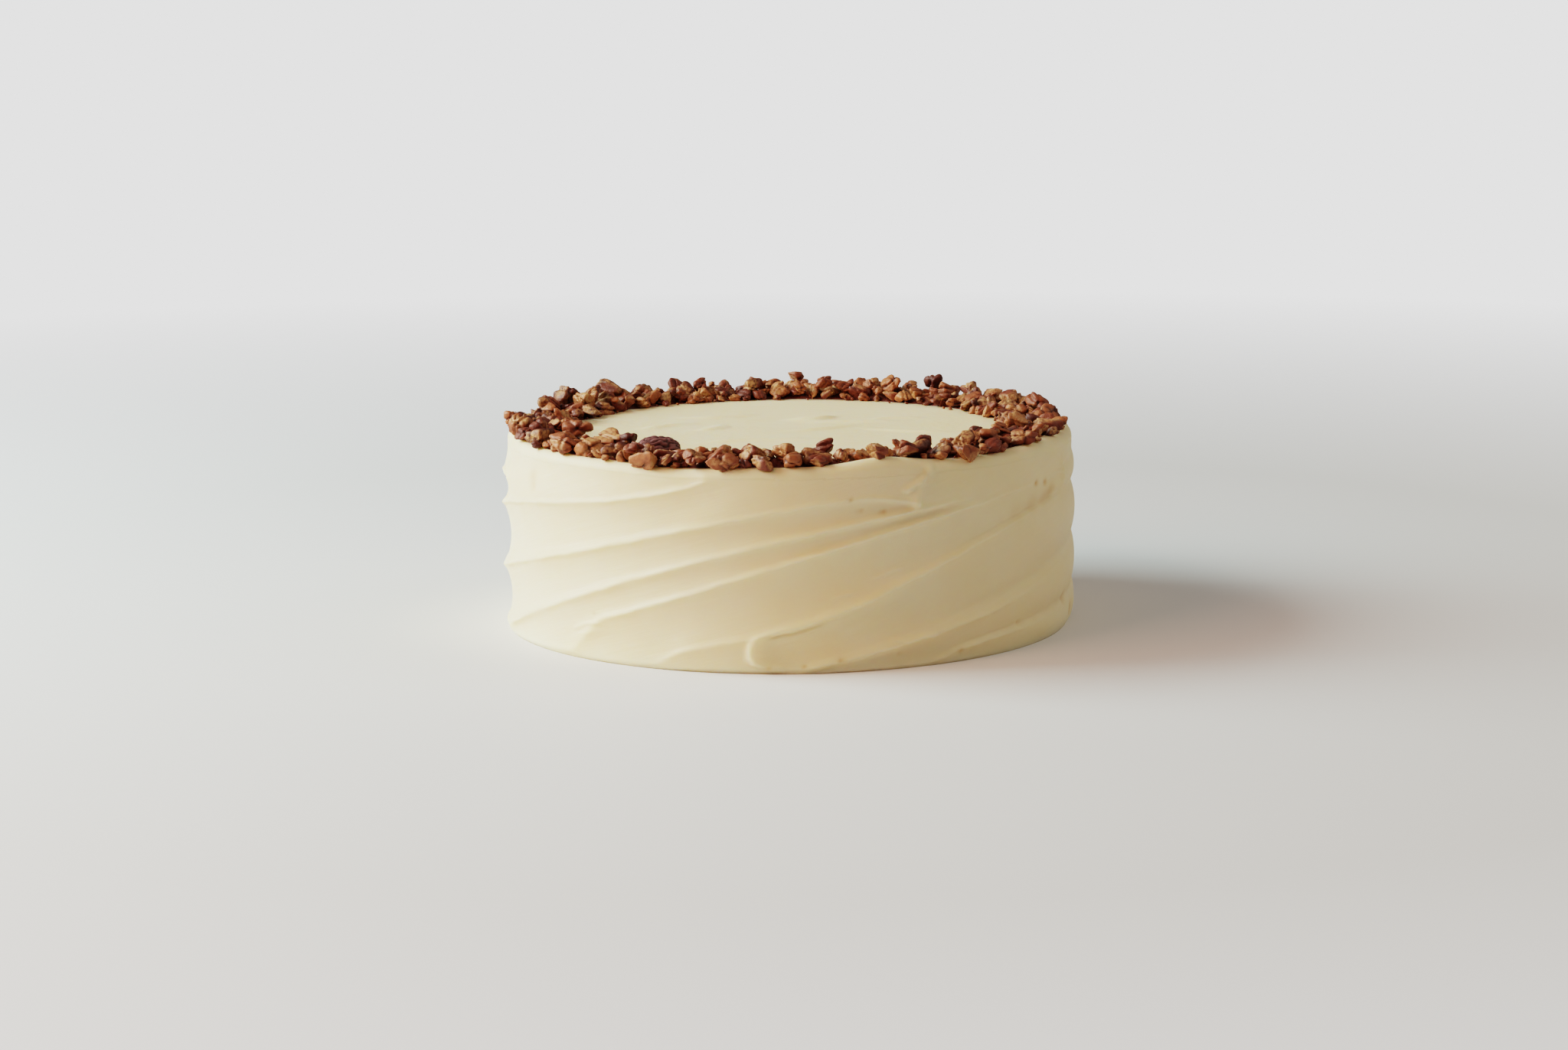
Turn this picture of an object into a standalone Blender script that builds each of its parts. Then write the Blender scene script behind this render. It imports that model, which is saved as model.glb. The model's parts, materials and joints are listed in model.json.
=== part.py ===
"""Hummingbird cake: an uncut round cake under cream icing, with a ring of broken pecans on its top.

Angles are in degrees from the cake's front (-Y), growing towards its right side (+X).
"""

import math
import random
from collections import namedtuple

import bmesh
import bpy
import numpy as np
from mathutils import Euler, Matrix, Vector

# Cake: layers baked in 229 mm tins, and the icing round and over them.
LAYER_RADIUS = 0.1145
ICING_THICKNESS = 0.0052
CAKE_RADIUS = LAYER_RADIUS + ICING_THICKNESS
TOP_HEIGHT = 0.0805
RIM_HEIGHT = 0.0818
FOOT_TUCK = 0.0014
FOOT_HEIGHT = 0.0030
LEAN_LEFT = -0.0022
LEAN_RIGHT = 0.0003
LEAN_LOW = 0.062
LEAN_HIGH = 0.076
GAP = 0.0003

# Palette-knife strokes: each starts round near the foot, climbs to the right and stops in a pocket
# under the rim. heights are those of the upper edge, at equal steps from start to end; lift is what
# the stroke adds to the rim, droop is how far its edge turns down at the end, and run_up and run_out
# are the lengths over which it comes in at its start and goes out at its end. The knife was pressed
# harder on some sides of the cake than on others.
STROKE_DEPTH = 0.0017
SHALLOW_DEPTH = 0.0010
FULL_WIDTH = 0.0170
PRESSED_ANGLES = (-180, -92, -60, -40, -15, 25, 36, 45, 54, 66, 105, 128, 152, 180)
PRESSED_SHARES = (1.25, 1.45, 1.10, 0.85, 0.80, 1.50, 0.60, 0.0, -0.55, -1.15, -1.05, 0.0, 1.0, 1.25)
LAPPED_ANGLES = (24, 40, 56, 68, 92)
LAPPED_SHARES = (0.0, 0.9, 1.8, 1.4, 0.0)
DROOP = 0.0035
CRISP_START = 0.0015
SOFT_START = 0.022
CRISP_END = 0.0018
SOFT_END = 0.014
USUAL_STROKE = (0.0, DROOP, STROKE_DEPTH, SOFT_START, CRISP_END)
Stroke = namedtuple("Stroke", "start end heights lift droop depth run_up run_out", defaults=USUAL_STROKE)
FRONT_STROKES = (
    Stroke(-154, -16, (0.009, 0.033, 0.0523, 0.0625, 0.0765), -0.0014, 0.0, run_out=SOFT_END),
    Stroke(-118, 25, (0.010, 0.0268, 0.043, 0.061, 0.070), 0.0030),
    Stroke(-82, 36, (0.000, 0.0200, 0.0405, 0.0565, 0.0655), 0.0, 0.0, run_out=SOFT_END),
    Stroke(-50, 112, (0.010, 0.030, 0.056, 0.0700, 0.0775), 0.0, 0.0, run_out=SOFT_END),
    Stroke(-46, 71, (0.014, 0.0327, 0.0515, 0.0637, 0.0705), 0.0012),
    Stroke(-30, 30, (0.0, 0.0105, 0.017, 0.026, 0.036), 0.0, 0.0, SHALLOW_DEPTH, run_out=SOFT_END),
    Stroke(-8, 100, (0.0156, 0.0312, 0.0508, 0.0585, 0.0605), 0.0008, 0.0, run_up=CRISP_START),
    Stroke(-5, 118, (-0.0013, 0.0112, 0.0240, 0.0370, 0.0530), -0.0008),
    Stroke(26, 138, (0.001, 0.0088, 0.0135, 0.0280, 0.0500), 0.0016),
    Stroke(74, 186, (0.009, 0.027, 0.045, 0.060, 0.070), -0.0010),
)
BACK_STARTS = (107, 140, 173)
BACK_LENGTH = 112
BACK_HEIGHTS = (0.012, 0.029, 0.046, 0.060, 0.069)
BACK_UNEVEN = 0.0020
STROKE_SEED = 7

# How a stroke lies in the icing: a long hollow between its own upper edge and the next edge under it,
# with a low crest along each edge. One that starts crisply stands out at its start. Where the pressed
# share is below zero the icing swells between the edges instead, which are creases there, and where
# strokes are lapped each stands out over the one above it.
START_RADIUS = 0.0068
DEEPENING = 0.012
LEAST_GAP = 0.004
SWELL = 0.0017
SWELL_LENGTH = 0.012
CREST_HEIGHT = 0.0008
CREST_WIDTH = 0.0014
EDGE_SOFTNESS = 0.0009
RUN_IN = 20
DROOP_LENGTH = 0.022
END_CREST = 0.0012
END_CREST_WIDTH = 0.0024
END_CREST_REACH = 0.010

# Rim: a lip of pushed-up icing, with the flat top inside it.
LIP_ROUND = 0.0042
LIP_WIDTH = 0.0052
LIP_FOOT = 0.0125
LIFT_WIDTH = 9
LIFT_BEHIND = 6

# Icing mesh: a square climbs one row a column, as the strokes do.
COLUMNS = 80
ROWS = 28

# Pecans: a ring of broken pieces, some laid in their own places and the others strewn in any order of size.
RING_INNER = 0.0890
RING_OUTER = 0.1180
STREWN_PIECES = 217
LARGEST = 0.0068
SMALLEST = 0.0031
SIZE_FALL = 0.50
EDGE_INSET = 0.6
TRIES = 10
NEST = 0.80
SIT = 0.62
HEAP_HEIGHT = 0.0140
PIECE_SHAPE = (1.28, 0.98, 0.80)
PIECE_UNEVEN = 0.16
SQUARE_SIZE = 0.0054
SQUARE_LEVEL = 0.55
THREE_SIDED_LEVEL = 0.50
PIECE_TILT = 30
PECAN_SEED = 21

# The laid pieces: lift is the middle's height over the icing, and turn is away from along the ring.
Laid = namedtuple("Laid", "angle out lift radius turn")
LAID_PIECES = (
    Laid(-90, 0.1158, 0.0040, 0.0044, 15),
    Laid(-48, 0.0965, 0.0060, 0.0062, 10),
    Laid(-38.5, 0.1105, 0.0040, 0.0048, 60),
    Laid(-29, 0.1165, 0.0022, 0.0056, -8),
    Laid(-18.7, 0.1125, 0.0045, 0.0050, 80),
    Laid(-12.7, 0.1166, 0.0024, 0.0054, 35),
    Laid(-6.8, 0.1075, 0.0058, 0.0049, 30),
    Laid(-0.9, 0.1075, 0.0070, 0.0046, 75),
    Laid(6.5, 0.1085, 0.0042, 0.0049, 5),
    Laid(11.4, 0.1080, 0.0046, 0.0035, 80),
    Laid(16.2, 0.1080, 0.0032, 0.0050, 10),
    Laid(21.8, 0.1060, 0.0044, 0.0034, 60),
    Laid(28, 0.1070, 0.0048, 0.0057, 15),
    Laid(33.5, 0.0990, 0.0070, 0.0036, 0),
    Laid(37.5, 0.1184, 0.0012, 0.0058, 70),
    Laid(42, 0.1060, 0.0062, 0.0051, 40),
    Laid(49, 0.1080, 0.0058, 0.0053, 20),
)
FRONT_THINNING = 0.30
FRONT_SPREAD = 38
BARE_ANGLE = 16
BARE_SPREAD = 8
BARE_THINNING = 0.62

# Core that holds the ring of pieces together, as high as the middles of the pieces round about.
CORE_COLUMNS = 56
CORE_OUTS = (0.0932, 0.0998, 0.1066, 0.1134)
CORE_EDGE = 0.0012
CORE_DEPTH = 0.0030
CORE_REACH = 0.0080
CORE_LEAST = 0.0012
CORE_SHARE = 0.85
CORE_UNEVEN = 0.0010

# Whole pecan half, lying with its lobed side up at the ring's inner edge.
HALF_LENGTH = 0.0190
HALF_WIDTH = 0.0142
HALF_HEIGHT = 0.0088
HALF_ANGLE = -34
HALF_OUT = 0.0925
HALF_TURN = 58
HALF_ROLL = 7
HALF_RINGS = 12
HALF_SIDES = 16
HALF_LOBES = 0.13
HALF_CLEARANCE = 0.0085

CREAM = (0.86, 0.78, 0.60)
PECAN_SKIN = (0.24, 0.085, 0.032)
PECAN_DARK = (0.095, 0.030, 0.016)


def smooth(low, high, value):
    """Rises from 0 at low to 1 at high, level at both ends."""
    share = np.clip((value - low) / (high - low), 0.0, 1.0)
    return share * share * (3.0 - 2.0 * share)


def around(angle, out, height):
    """The point at an angle round the cake, a distance out from its middle and a height."""
    turn = math.radians(angle)
    return (out * math.sin(turn), -out * math.cos(turn), height)


def angle_within(angle):
    """The same angle between -180 and 180."""
    return (angle + 180.0) % 360.0 - 180.0


def turned(angle, start):
    """Degrees from start round to angle, from just before the start to nearly once round."""
    return (angle - start + RUN_IN) % 360.0 - RUN_IN


def back_strokes():
    """The strokes on the far side, which follow the front ones' rule a little unevenly."""
    rng = random.Random(STROKE_SEED)
    strokes = []
    for start in BACK_STARTS:
        heights = tuple(height + rng.uniform(-BACK_UNEVEN, BACK_UNEVEN) for height in BACK_HEIGHTS)
        lift = rng.uniform(-BACK_UNEVEN, BACK_UNEVEN)
        strokes.append(Stroke(start, start + BACK_LENGTH, heights, lift))
    return strokes


STROKES = FRONT_STROKES + tuple(back_strokes())


def reach(stroke, angle):
    """How long a stroke is, and how far along it an angle lies."""
    length = math.radians(stroke.end - stroke.start) * CAKE_RADIUS
    return length, math.radians(turned(angle, stroke.start)) * CAKE_RADIUS


def upper_edge(stroke, angle):
    """Height of a stroke's upper edge, which may droop into the pocket at its end."""
    length, along = reach(stroke, angle)
    steps = np.linspace(0.0, 1.0, len(stroke.heights))
    curve = np.polyfit(steps, stroke.heights, len(steps) - 1)
    share = min(max(along / length, 0.0), 1.0)
    return np.polyval(curve, share) - stroke.droop * smooth(length - DROOP_LENGTH, length, along)


def gap_under(stroke, angle):
    """How far it is from a stroke's upper edge down to that of a younger one, or to the foot."""
    edge = upper_edge(stroke, angle)
    age = turned(angle, stroke.start)
    younger = [other for other in STROKES if turned(angle, other.start) < age]
    floor = 0.0
    for other in sorted(younger, key=lambda other: upper_edge(other, angle)):
        length, along = reach(other, angle)
        level = upper_edge(other, angle)
        if level < edge:
            shows = smooth(0.0, SOFT_START, along) * (1.0 - smooth(length - SOFT_END, length, along))
            floor += (level - floor) * shows
    return max(edge - floor, LEAST_GAP)


def stamp(relief, stroke, angle, heights):
    """The relief up one column of the side after a stroke has gone over it."""
    length, along = reach(stroke, angle)
    if along > length + END_CREST_REACH:
        return relief
    gap = gap_under(stroke, angle)
    below = upper_edge(stroke, angle) - heights
    bulge = np.clip((below - START_RADIUS) / START_RADIUS, -1.0, 1.0)
    from_start = along - START_RADIUS * (1.0 - np.sqrt(1.0 - bulge**2))
    begun = smooth(-EDGE_SOFTNESS, stroke.run_up, from_start)
    kept = 1.0 - smooth(length - stroke.run_out, length + stroke.run_out, along)
    kept = kept * begun * (1.0 - smooth(0.8 * gap, gap, below))
    cover = kept * smooth(-EDGE_SOFTNESS, EDGE_SOFTNESS, below)
    share = np.clip(below / gap, 0.0, 1.0)
    pressed = np.interp(angle_within(angle), PRESSED_ANGLES, PRESSED_SHARES)
    lapped = np.interp(angle_within(angle), LAPPED_ANGLES, LAPPED_SHARES)
    hollow = (4.0 * share * (1.0 - share) * pressed + share * lapped) * math.sqrt(gap / FULL_WIDTH)
    hollow = hollow * smooth(0.0, DEEPENING, from_start)
    swell = SWELL * math.exp(-((along / SWELL_LENGTH) ** 2)) * CRISP_START / stroke.run_up
    strength = stroke.depth / STROKE_DEPTH
    crest = kept * np.exp(-((np.minimum(from_start, below) / CREST_WIDTH) ** 2)) * strength
    stop = np.exp(-(((along - length) / END_CREST_WIDTH) ** 2)) * strength * CRISP_END / stroke.run_out
    stop = stop * smooth(-END_CREST_REACH, 0.0, below) * (1.0 - smooth(0.0, END_CREST_REACH, below))
    relief = relief * (1.0 - cover) + (swell - stroke.depth * hollow) * cover
    return relief + CREST_HEIGHT * crest * min(max(1.0 + pressed, 0.0), 1.0) + END_CREST * stop


def side_relief(angle, heights):
    """How far the icing stands out from the cake's radius at each height of one column."""
    lean = LEAN_LEFT + (LEAN_RIGHT - LEAN_LEFT) * (0.5 + 0.5 * math.sin(math.radians(angle)))
    tuck = FOOT_TUCK * (1.0 - smooth(0.0, FOOT_HEIGHT, heights))
    relief = lean * smooth(LEAN_LOW, LEAN_HIGH, heights) - tuck
    oldest_first = sorted(STROKES, key=lambda stroke: -turned(angle, stroke.start))
    for stroke in oldest_first:
        relief = stamp(relief, stroke, angle, heights)
    return relief


def rim_height(angle):
    """Height of the lip, raised or dragged down where each stroke runs out."""
    height = RIM_HEIGHT
    for stroke in STROKES:
        apart = angle_within(angle - stroke.end + LIFT_BEHIND)
        height += stroke.lift * math.exp(-((apart / LIFT_WIDTH) ** 2))
    return height


def top_height(angle, out):
    """Height of the icing's top, level in the middle and raised to the lip at the edge."""
    raised = float(smooth(CAKE_RADIUS - LIP_FOOT, CAKE_RADIUS - LIP_WIDTH, out))
    return TOP_HEIGHT + (rim_height(angle) - TOP_HEIGHT) * raised


def column_points(angle, grow):
    """One column of the icing's surface: up the side from the foot, and over the lip to the top."""
    rim = rim_height(angle)
    shoulder = rim - LIP_ROUND
    heights = np.linspace(0.0, shoulder, ROWS + 1)
    outs = CAKE_RADIUS + side_relief(angle, heights)
    points = [around(angle, out + grow, height) for out, height in zip(outs, heights)]
    edge = outs[-1]
    round_out = edge - 0.3 * LIP_ROUND
    points.append(around(angle, round_out + grow, shoulder + 0.72 * LIP_ROUND + grow))
    points.append(around(angle, CAKE_RADIUS - LIP_WIDTH, rim + grow))
    points.append(around(angle, CAKE_RADIUS - LIP_FOOT, TOP_HEIGHT + grow))
    return points


def icing_mesh(name, grow=0.0):
    """The iced cake as one closed mesh, its foot flat on the ground, grown by the given distance."""
    bm = bmesh.new()
    angles = [360.0 * index / COLUMNS for index in range(COLUMNS)]
    columns = [[bm.verts.new(point) for point in column_points(angle, grow)] for angle in angles]
    for index, column in enumerate(columns):
        following = columns[(index + 1) % COLUMNS]
        for row in range(len(column) - 1):
            low, right = column[row], following[row]
            high, far = column[row + 1], following[row + 1]
            bm.faces.new((low, right, far))
            bm.faces.new((low, far, high))
    bm.faces.new([column[-1] for column in columns])
    bm.faces.new([column[0] for column in reversed(columns)])
    return finished(bm, name)


def finished(bm, name):
    """The bmesh written to a new mesh, shaded smooth except over sharp edges."""
    mesh = bpy.data.meshes.new(name)
    bm.to_mesh(mesh)
    bm.free()
    mesh.shade_smooth()
    mesh.set_sharp_from_angle(angle=math.radians(40))
    return mesh


def fullness(angle):
    """How thickly the pecans lie at an angle, from 1 down to nearly bare."""
    front = FRONT_THINNING * math.exp(-((angle / FRONT_SPREAD) ** 2))
    bare = BARE_THINNING * math.exp(-(((angle - BARE_ANGLE) / BARE_SPREAD) ** 2))
    return 1.0 - front - bare


Piece = namedtuple("Piece", "middle radius turns")


def near_half(middle, radius):
    """Whether a piece would lie on the whole pecan half."""
    half = Vector(around(HALF_ANGLE, HALF_OUT, 0.0))
    return math.hypot(middle[0] - half.x, middle[1] - half.y) < HALF_CLEARANCE + radius


def rest_height(x, y, floor, radius, heap):
    """How high a piece's middle comes to rest on the icing and on the pieces already there."""
    reach = NEST * (radius + heap[:, 3])
    left = reach**2 - (heap[:, 0] - x) ** 2 - (heap[:, 1] - y) ** 2
    under = left > 0.0
    on_pieces = heap[under, 2] + np.sqrt(left[under])
    return max([floor + SIT * radius, *on_pieces])


def random_turns(rng):
    """A piece's turns about X, Y and Z: a little off flat, and any way round."""
    tilt = math.radians(PIECE_TILT)
    return (rng.uniform(-tilt, tilt), rng.uniform(-tilt, tilt), rng.uniform(0.0, math.tau))


def tried_place(rng, radius, heap):
    """One place for a piece, where the ring is thick enough to have it."""
    while True:
        angle = rng.uniform(-180.0, 180.0)
        out = rng.uniform(RING_INNER + radius, RING_OUTER - EDGE_INSET * radius)
        x, y, _ = around(angle, out, 0.0)
        if rng.random() > fullness(angle) or near_half((x, y), radius):
            continue
        height = rest_height(x, y, top_height(angle, out), radius, heap)
        if height + PIECE_SHAPE[2] * radius < TOP_HEIGHT + HEAP_HEIGHT:
            return (x, y, height)


def broken_pieces():
    """Every broken piece: the laid ones, then the others as they are strewn."""
    rng = random.Random(PECAN_SEED)
    pieces = []
    for laid in LAID_PIECES:
        middle = around(laid.angle, laid.out, top_height(laid.angle, laid.out) + laid.lift)
        pieces.append(Piece(middle, laid.radius, (0.0, 0.0, math.radians(laid.angle + laid.turn))))
    shares = [(index / STREWN_PIECES) ** SIZE_FALL for index in range(STREWN_PIECES)]
    sizes = [LARGEST * (SMALLEST / LARGEST) ** share for share in shares]
    rng.shuffle(sizes)
    heap = np.array([(*piece.middle, piece.radius) for piece in pieces])
    for radius in sizes:
        tries = [tried_place(rng, radius, heap) for _ in range(TRIES)]
        lowest = min(tries, key=lambda middle: middle[2])
        pieces.append(Piece(lowest, radius, random_turns(rng)))
        heap = np.vstack([heap, (*lowest, radius)])
    return pieces


def add_chip(bm, sides, level):
    """A lump of few triangles: one flat end below and one above it, turned by half a side."""
    out = math.sqrt(1.0 - level**2)
    rings = []
    for height, first in ((-level, 0.0), (level, math.pi / sides)):
        corners = [first + math.tau * corner / sides for corner in range(sides)]
        ring = [(out * math.cos(turn), out * math.sin(turn), height) for turn in corners]
        rings.append([bm.verts.new(point) for point in ring])
    low, high = rings
    for corner in range(sides):
        beside = (corner + 1) % sides
        bm.faces.new((low[corner], low[beside], high[corner]))
        bm.faces.new((high[corner], low[beside], high[beside]))
    bm.faces.new(list(reversed(low)))
    bm.faces.new(high)
    bmesh.ops.triangulate(bm, faces=bm.faces)


def piece_mesh(index, piece):
    """One broken piece: a lump of few sides, uneven and turned, already in its place."""
    rng = random.Random(PECAN_SEED + 100 + index)
    bm = bmesh.new()
    if piece.radius > SQUARE_SIZE:
        add_chip(bm, 4, SQUARE_LEVEL)
    else:
        add_chip(bm, 3, THREE_SIDED_LEVEL)
    for vert in bm.verts:
        vert.co *= 1.0 + rng.uniform(-PIECE_UNEVEN, PIECE_UNEVEN)
    sizes = [piece.radius * share for share in PIECE_SHAPE]
    place = Matrix.LocRotScale(Vector(piece.middle), Euler(piece.turns), Vector(sizes))
    bmesh.ops.transform(bm, matrix=place, verts=bm.verts)
    return finished(bm, f"piece_{index}")


def core_height(angle, out, pieces):
    """Height of the core's top: about the level of the middles of the pieces near it."""
    x, y, _ = around(angle, out, 0.0)
    floor = top_height(angle, out)
    near = [piece.middle[2] for piece in pieces if math.dist(piece.middle[:2], (x, y)) < CORE_REACH]
    level = sum(near) / len(near) if near else floor
    return floor + max(CORE_SHARE * (level - floor), CORE_LEAST)


def core_mesh(pieces):
    """The uneven ring under the pieces; its underside is cut to the icing later."""
    rng = random.Random(PECAN_SEED)
    bm = bmesh.new()
    columns = []
    for index in range(CORE_COLUMNS):
        angle = 360.0 * index / CORE_COLUMNS
        outline = []
        for out in reversed(CORE_OUTS):
            height = core_height(angle, out, pieces) + rng.uniform(-CORE_UNEVEN, CORE_UNEVEN)
            outline.append((out + rng.uniform(-CORE_UNEVEN, CORE_UNEVEN), height))
        outline.append((outline[-1][0] - CORE_EDGE, TOP_HEIGHT - CORE_DEPTH))
        outline.append((outline[0][0] + CORE_EDGE, TOP_HEIGHT - CORE_DEPTH))
        columns.append([bm.verts.new(around(angle, out, height)) for out, height in outline])
    for index, column in enumerate(columns):
        following = columns[(index + 1) % CORE_COLUMNS]
        for row in range(len(column)):
            above = (row + 1) % len(column)
            bm.faces.new((column[row], following[row], following[above], column[above]))
    bmesh.ops.triangulate(bm, faces=bm.faces)
    bmesh.ops.recalc_face_normals(bm, faces=bm.faces)
    return finished(bm, "pecan_ring")


def half_mesh(name, grow=0.0):
    """A whole pecan half along X, its lobed side up, grown by the given distance."""
    bm = bmesh.new()
    rings = []
    for ring in range(1, HALF_RINGS):
        lengthwise = math.pi * ring / HALF_RINGS
        plump = math.sin(lengthwise) ** 0.75
        row = []
        for side in range(HALF_SIDES):
            across = math.tau * side / HALF_SIDES
            lobed = 1.0 - HALF_LOBES * math.sin(3.0 * across) ** 2 * max(math.sin(across), 0.0) * plump
            height = HALF_HEIGHT * (0.72 if math.sin(across) > 0.0 else 0.28)
            row.append(
                bm.verts.new(
                    (
                        -0.5 * HALF_LENGTH * math.cos(lengthwise) * (1.0 + grow / HALF_LENGTH),
                        (0.5 * HALF_WIDTH + grow) * plump * lobed * math.cos(across),
                        (height + grow) * plump * lobed * math.sin(across),
                    )
                )
            )
        rings.append(row)
    ends = [bm.verts.new((side * (0.5 * HALF_LENGTH + grow), 0.0, 0.0)) for side in (-1.0, 1.0)]
    for side in range(HALF_SIDES):
        beside = (side + 1) % HALF_SIDES
        for row, following in zip(rings, rings[1:]):
            bm.faces.new((row[side], row[beside], following[beside], following[side]))
        bm.faces.new((ends[0], rings[0][beside], rings[0][side]))
        bm.faces.new((ends[1], rings[-1][side], rings[-1][beside]))
    bmesh.ops.recalc_face_normals(bm, faces=bm.faces)
    return finished(bm, name)


def half_place(mesh):
    """Where the pecan half lies: turned and rolled a little, just clear of the icing."""
    turn = Euler((math.radians(HALF_ROLL), 0.0, math.radians(HALF_ANGLE + HALF_TURN)))
    lowest = min((turn.to_matrix() @ vert.co).z for vert in mesh.vertices)
    x, y, _ = around(HALF_ANGLE, HALF_OUT, 0.0)
    return (x, y, TOP_HEIGHT + GAP - lowest), turn


def add_object(name, mesh, material=None):
    """A new object in the scene."""
    obj = bpy.data.objects.new(name, mesh)
    if material:
        mesh.materials.append(material)
    bpy.context.scene.collection.objects.link(obj)
    return obj


def paint(name, colour, roughness):
    """A plain material of one colour."""
    material = bpy.data.materials.new(name)
    material.use_nodes = True
    shader = material.node_tree.nodes["Principled BSDF"]
    shader.inputs["Base Color"].default_value = (*colour, 1.0)
    shader.inputs["Roughness"].default_value = roughness
    shader.inputs["Metallic"].default_value = 0.0
    return material


def apply_modifiers(obj):
    """Makes the object's mesh what its modifiers show, and takes them off."""
    graph = bpy.context.evaluated_depsgraph_get()
    mesh = bpy.data.meshes.new_from_object(obj.evaluated_get(graph))
    obj.modifiers.clear()
    old = obj.data
    obj.data = mesh
    bpy.data.meshes.remove(old)


def combine(obj, others, operation):
    """One Boolean of the object with a collection of others, applied, and the others removed."""
    collection = bpy.data.collections.new("joined")
    for other in others:
        bpy.context.scene.collection.objects.unlink(other)
        collection.objects.link(other)
    modifier = obj.modifiers.new("join", "BOOLEAN")
    modifier.operation = operation
    modifier.operand_type = "COLLECTION"
    modifier.collection = collection
    modifier.solver = "EXACT"
    apply_modifiers(obj)
    for other in others:
        bpy.data.meshes.remove(other.data)
    bpy.data.collections.remove(collection)


def shell_of(seed):
    """All the faces joined to one face."""
    found = {seed}
    waiting = [seed]
    while waiting:
        for edge in waiting.pop().edges:
            for face in edge.link_faces:
                if face not in found:
                    found.add(face)
                    waiting.append(face)
    return found


def keep_largest_shell(mesh):
    """Drops loose scraps and fills sealed hollows, which leaves the largest closed surface."""
    bm = bmesh.new()
    bm.from_mesh(mesh)
    left = set(bm.faces)
    shells = []
    while left:
        shell = shell_of(next(iter(left)))
        left -= shell
        shells.append(shell)
    largest = max(shells, key=len)
    scraps = [face for face in bm.faces if face not in largest]
    bmesh.ops.delete(bm, geom=scraps, context="FACES")
    bmesh.ops.triangulate(bm, faces=bm.faces)
    bm.to_mesh(mesh)
    bm.free()


def pecan_ring(material):
    """The ring: its core and larger pieces fused, with the icing and the whole half cut away from it."""
    pieces = broken_pieces()
    ring = add_object("pecan_ring", core_mesh(pieces))
    lumps = []
    for index, piece in enumerate(pieces):
        lumps.append(add_object(f"piece_{index}", piece_mesh(index, piece)))
    combine(ring, lumps, "UNION")
    keep_largest_shell(ring.data)
    half_cutter = add_object("half_cutter", half_mesh("half_cutter", GAP))
    half_cutter.location, half_cutter.rotation_euler = half_place(half_mesh("half_size"))
    icing_cutter = add_object("icing_cutter", icing_mesh("icing_cutter", GAP))
    combine(ring, [icing_cutter, half_cutter], "DIFFERENCE")
    keep_largest_shell(ring.data)
    ring.data.shade_flat()
    ring.data.polygons.foreach_set("material_index", [0] * len(ring.data.polygons))
    ring.data.materials.clear()
    ring.data.materials.append(material)
    return ring


def main():
    for obj in list(bpy.data.objects):
        bpy.data.objects.remove(obj)
    cake = bpy.data.objects.new("hummingbird_cake", None)
    bpy.context.scene.collection.objects.link(cake)
    iced = add_object("iced_cake", icing_mesh("iced_cake"), paint("cream_icing", CREAM, 0.55))
    ring = pecan_ring(paint("pecan_skin", PECAN_SKIN, 0.5))
    half = add_object("pecan_half", half_mesh("pecan_half"), paint("dark_pecan_skin", PECAN_DARK, 0.5))
    half.location, half.rotation_euler = half_place(half.data)
    for node in (iced, ring, half):
        node.parent = cake


main()
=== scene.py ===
"""Looks of the hummingbird cake: knife-spread cream icing, a ring of broken pecans and one whole half.

Lengths are in metres. Angles are in degrees from the cake's front (-Y), growing towards its right (+X).
"""

import json
import math
import random
from collections import namedtuple

import bmesh
import bpy
import numpy as np
from mathutils import Euler, Matrix, Vector, noise

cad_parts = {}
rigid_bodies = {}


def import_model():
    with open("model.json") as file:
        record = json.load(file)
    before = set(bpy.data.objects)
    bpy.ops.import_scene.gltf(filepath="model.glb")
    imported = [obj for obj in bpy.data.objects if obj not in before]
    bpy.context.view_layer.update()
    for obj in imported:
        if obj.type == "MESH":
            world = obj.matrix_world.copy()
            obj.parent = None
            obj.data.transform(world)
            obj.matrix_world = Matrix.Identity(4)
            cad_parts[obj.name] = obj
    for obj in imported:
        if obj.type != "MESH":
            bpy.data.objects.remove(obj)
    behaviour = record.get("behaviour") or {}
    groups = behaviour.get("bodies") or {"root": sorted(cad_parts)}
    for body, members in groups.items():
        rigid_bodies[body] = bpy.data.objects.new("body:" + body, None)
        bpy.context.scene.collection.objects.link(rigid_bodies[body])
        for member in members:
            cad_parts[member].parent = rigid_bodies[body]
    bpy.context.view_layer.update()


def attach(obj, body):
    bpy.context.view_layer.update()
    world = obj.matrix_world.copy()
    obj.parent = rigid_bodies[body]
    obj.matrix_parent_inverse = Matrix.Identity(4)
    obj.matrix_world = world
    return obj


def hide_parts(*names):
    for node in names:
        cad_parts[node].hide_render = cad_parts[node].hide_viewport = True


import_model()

# Cake: layers baked in 229 mm tins, and the icing round and over them.
LAYER_RADIUS = 0.1145
ICING_THICKNESS = 0.0052
CAKE_RADIUS = LAYER_RADIUS + ICING_THICKNESS
TOP_HEIGHT = 0.0805
RIM_HEIGHT = 0.0818
FOOT_TUCK = 0.0014
FOOT_HEIGHT = 0.0030
LEAN_LEFT = -0.0022
LEAN_RIGHT = 0.0003
LEAN_LOW = 0.062
LEAN_HIGH = 0.076

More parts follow.
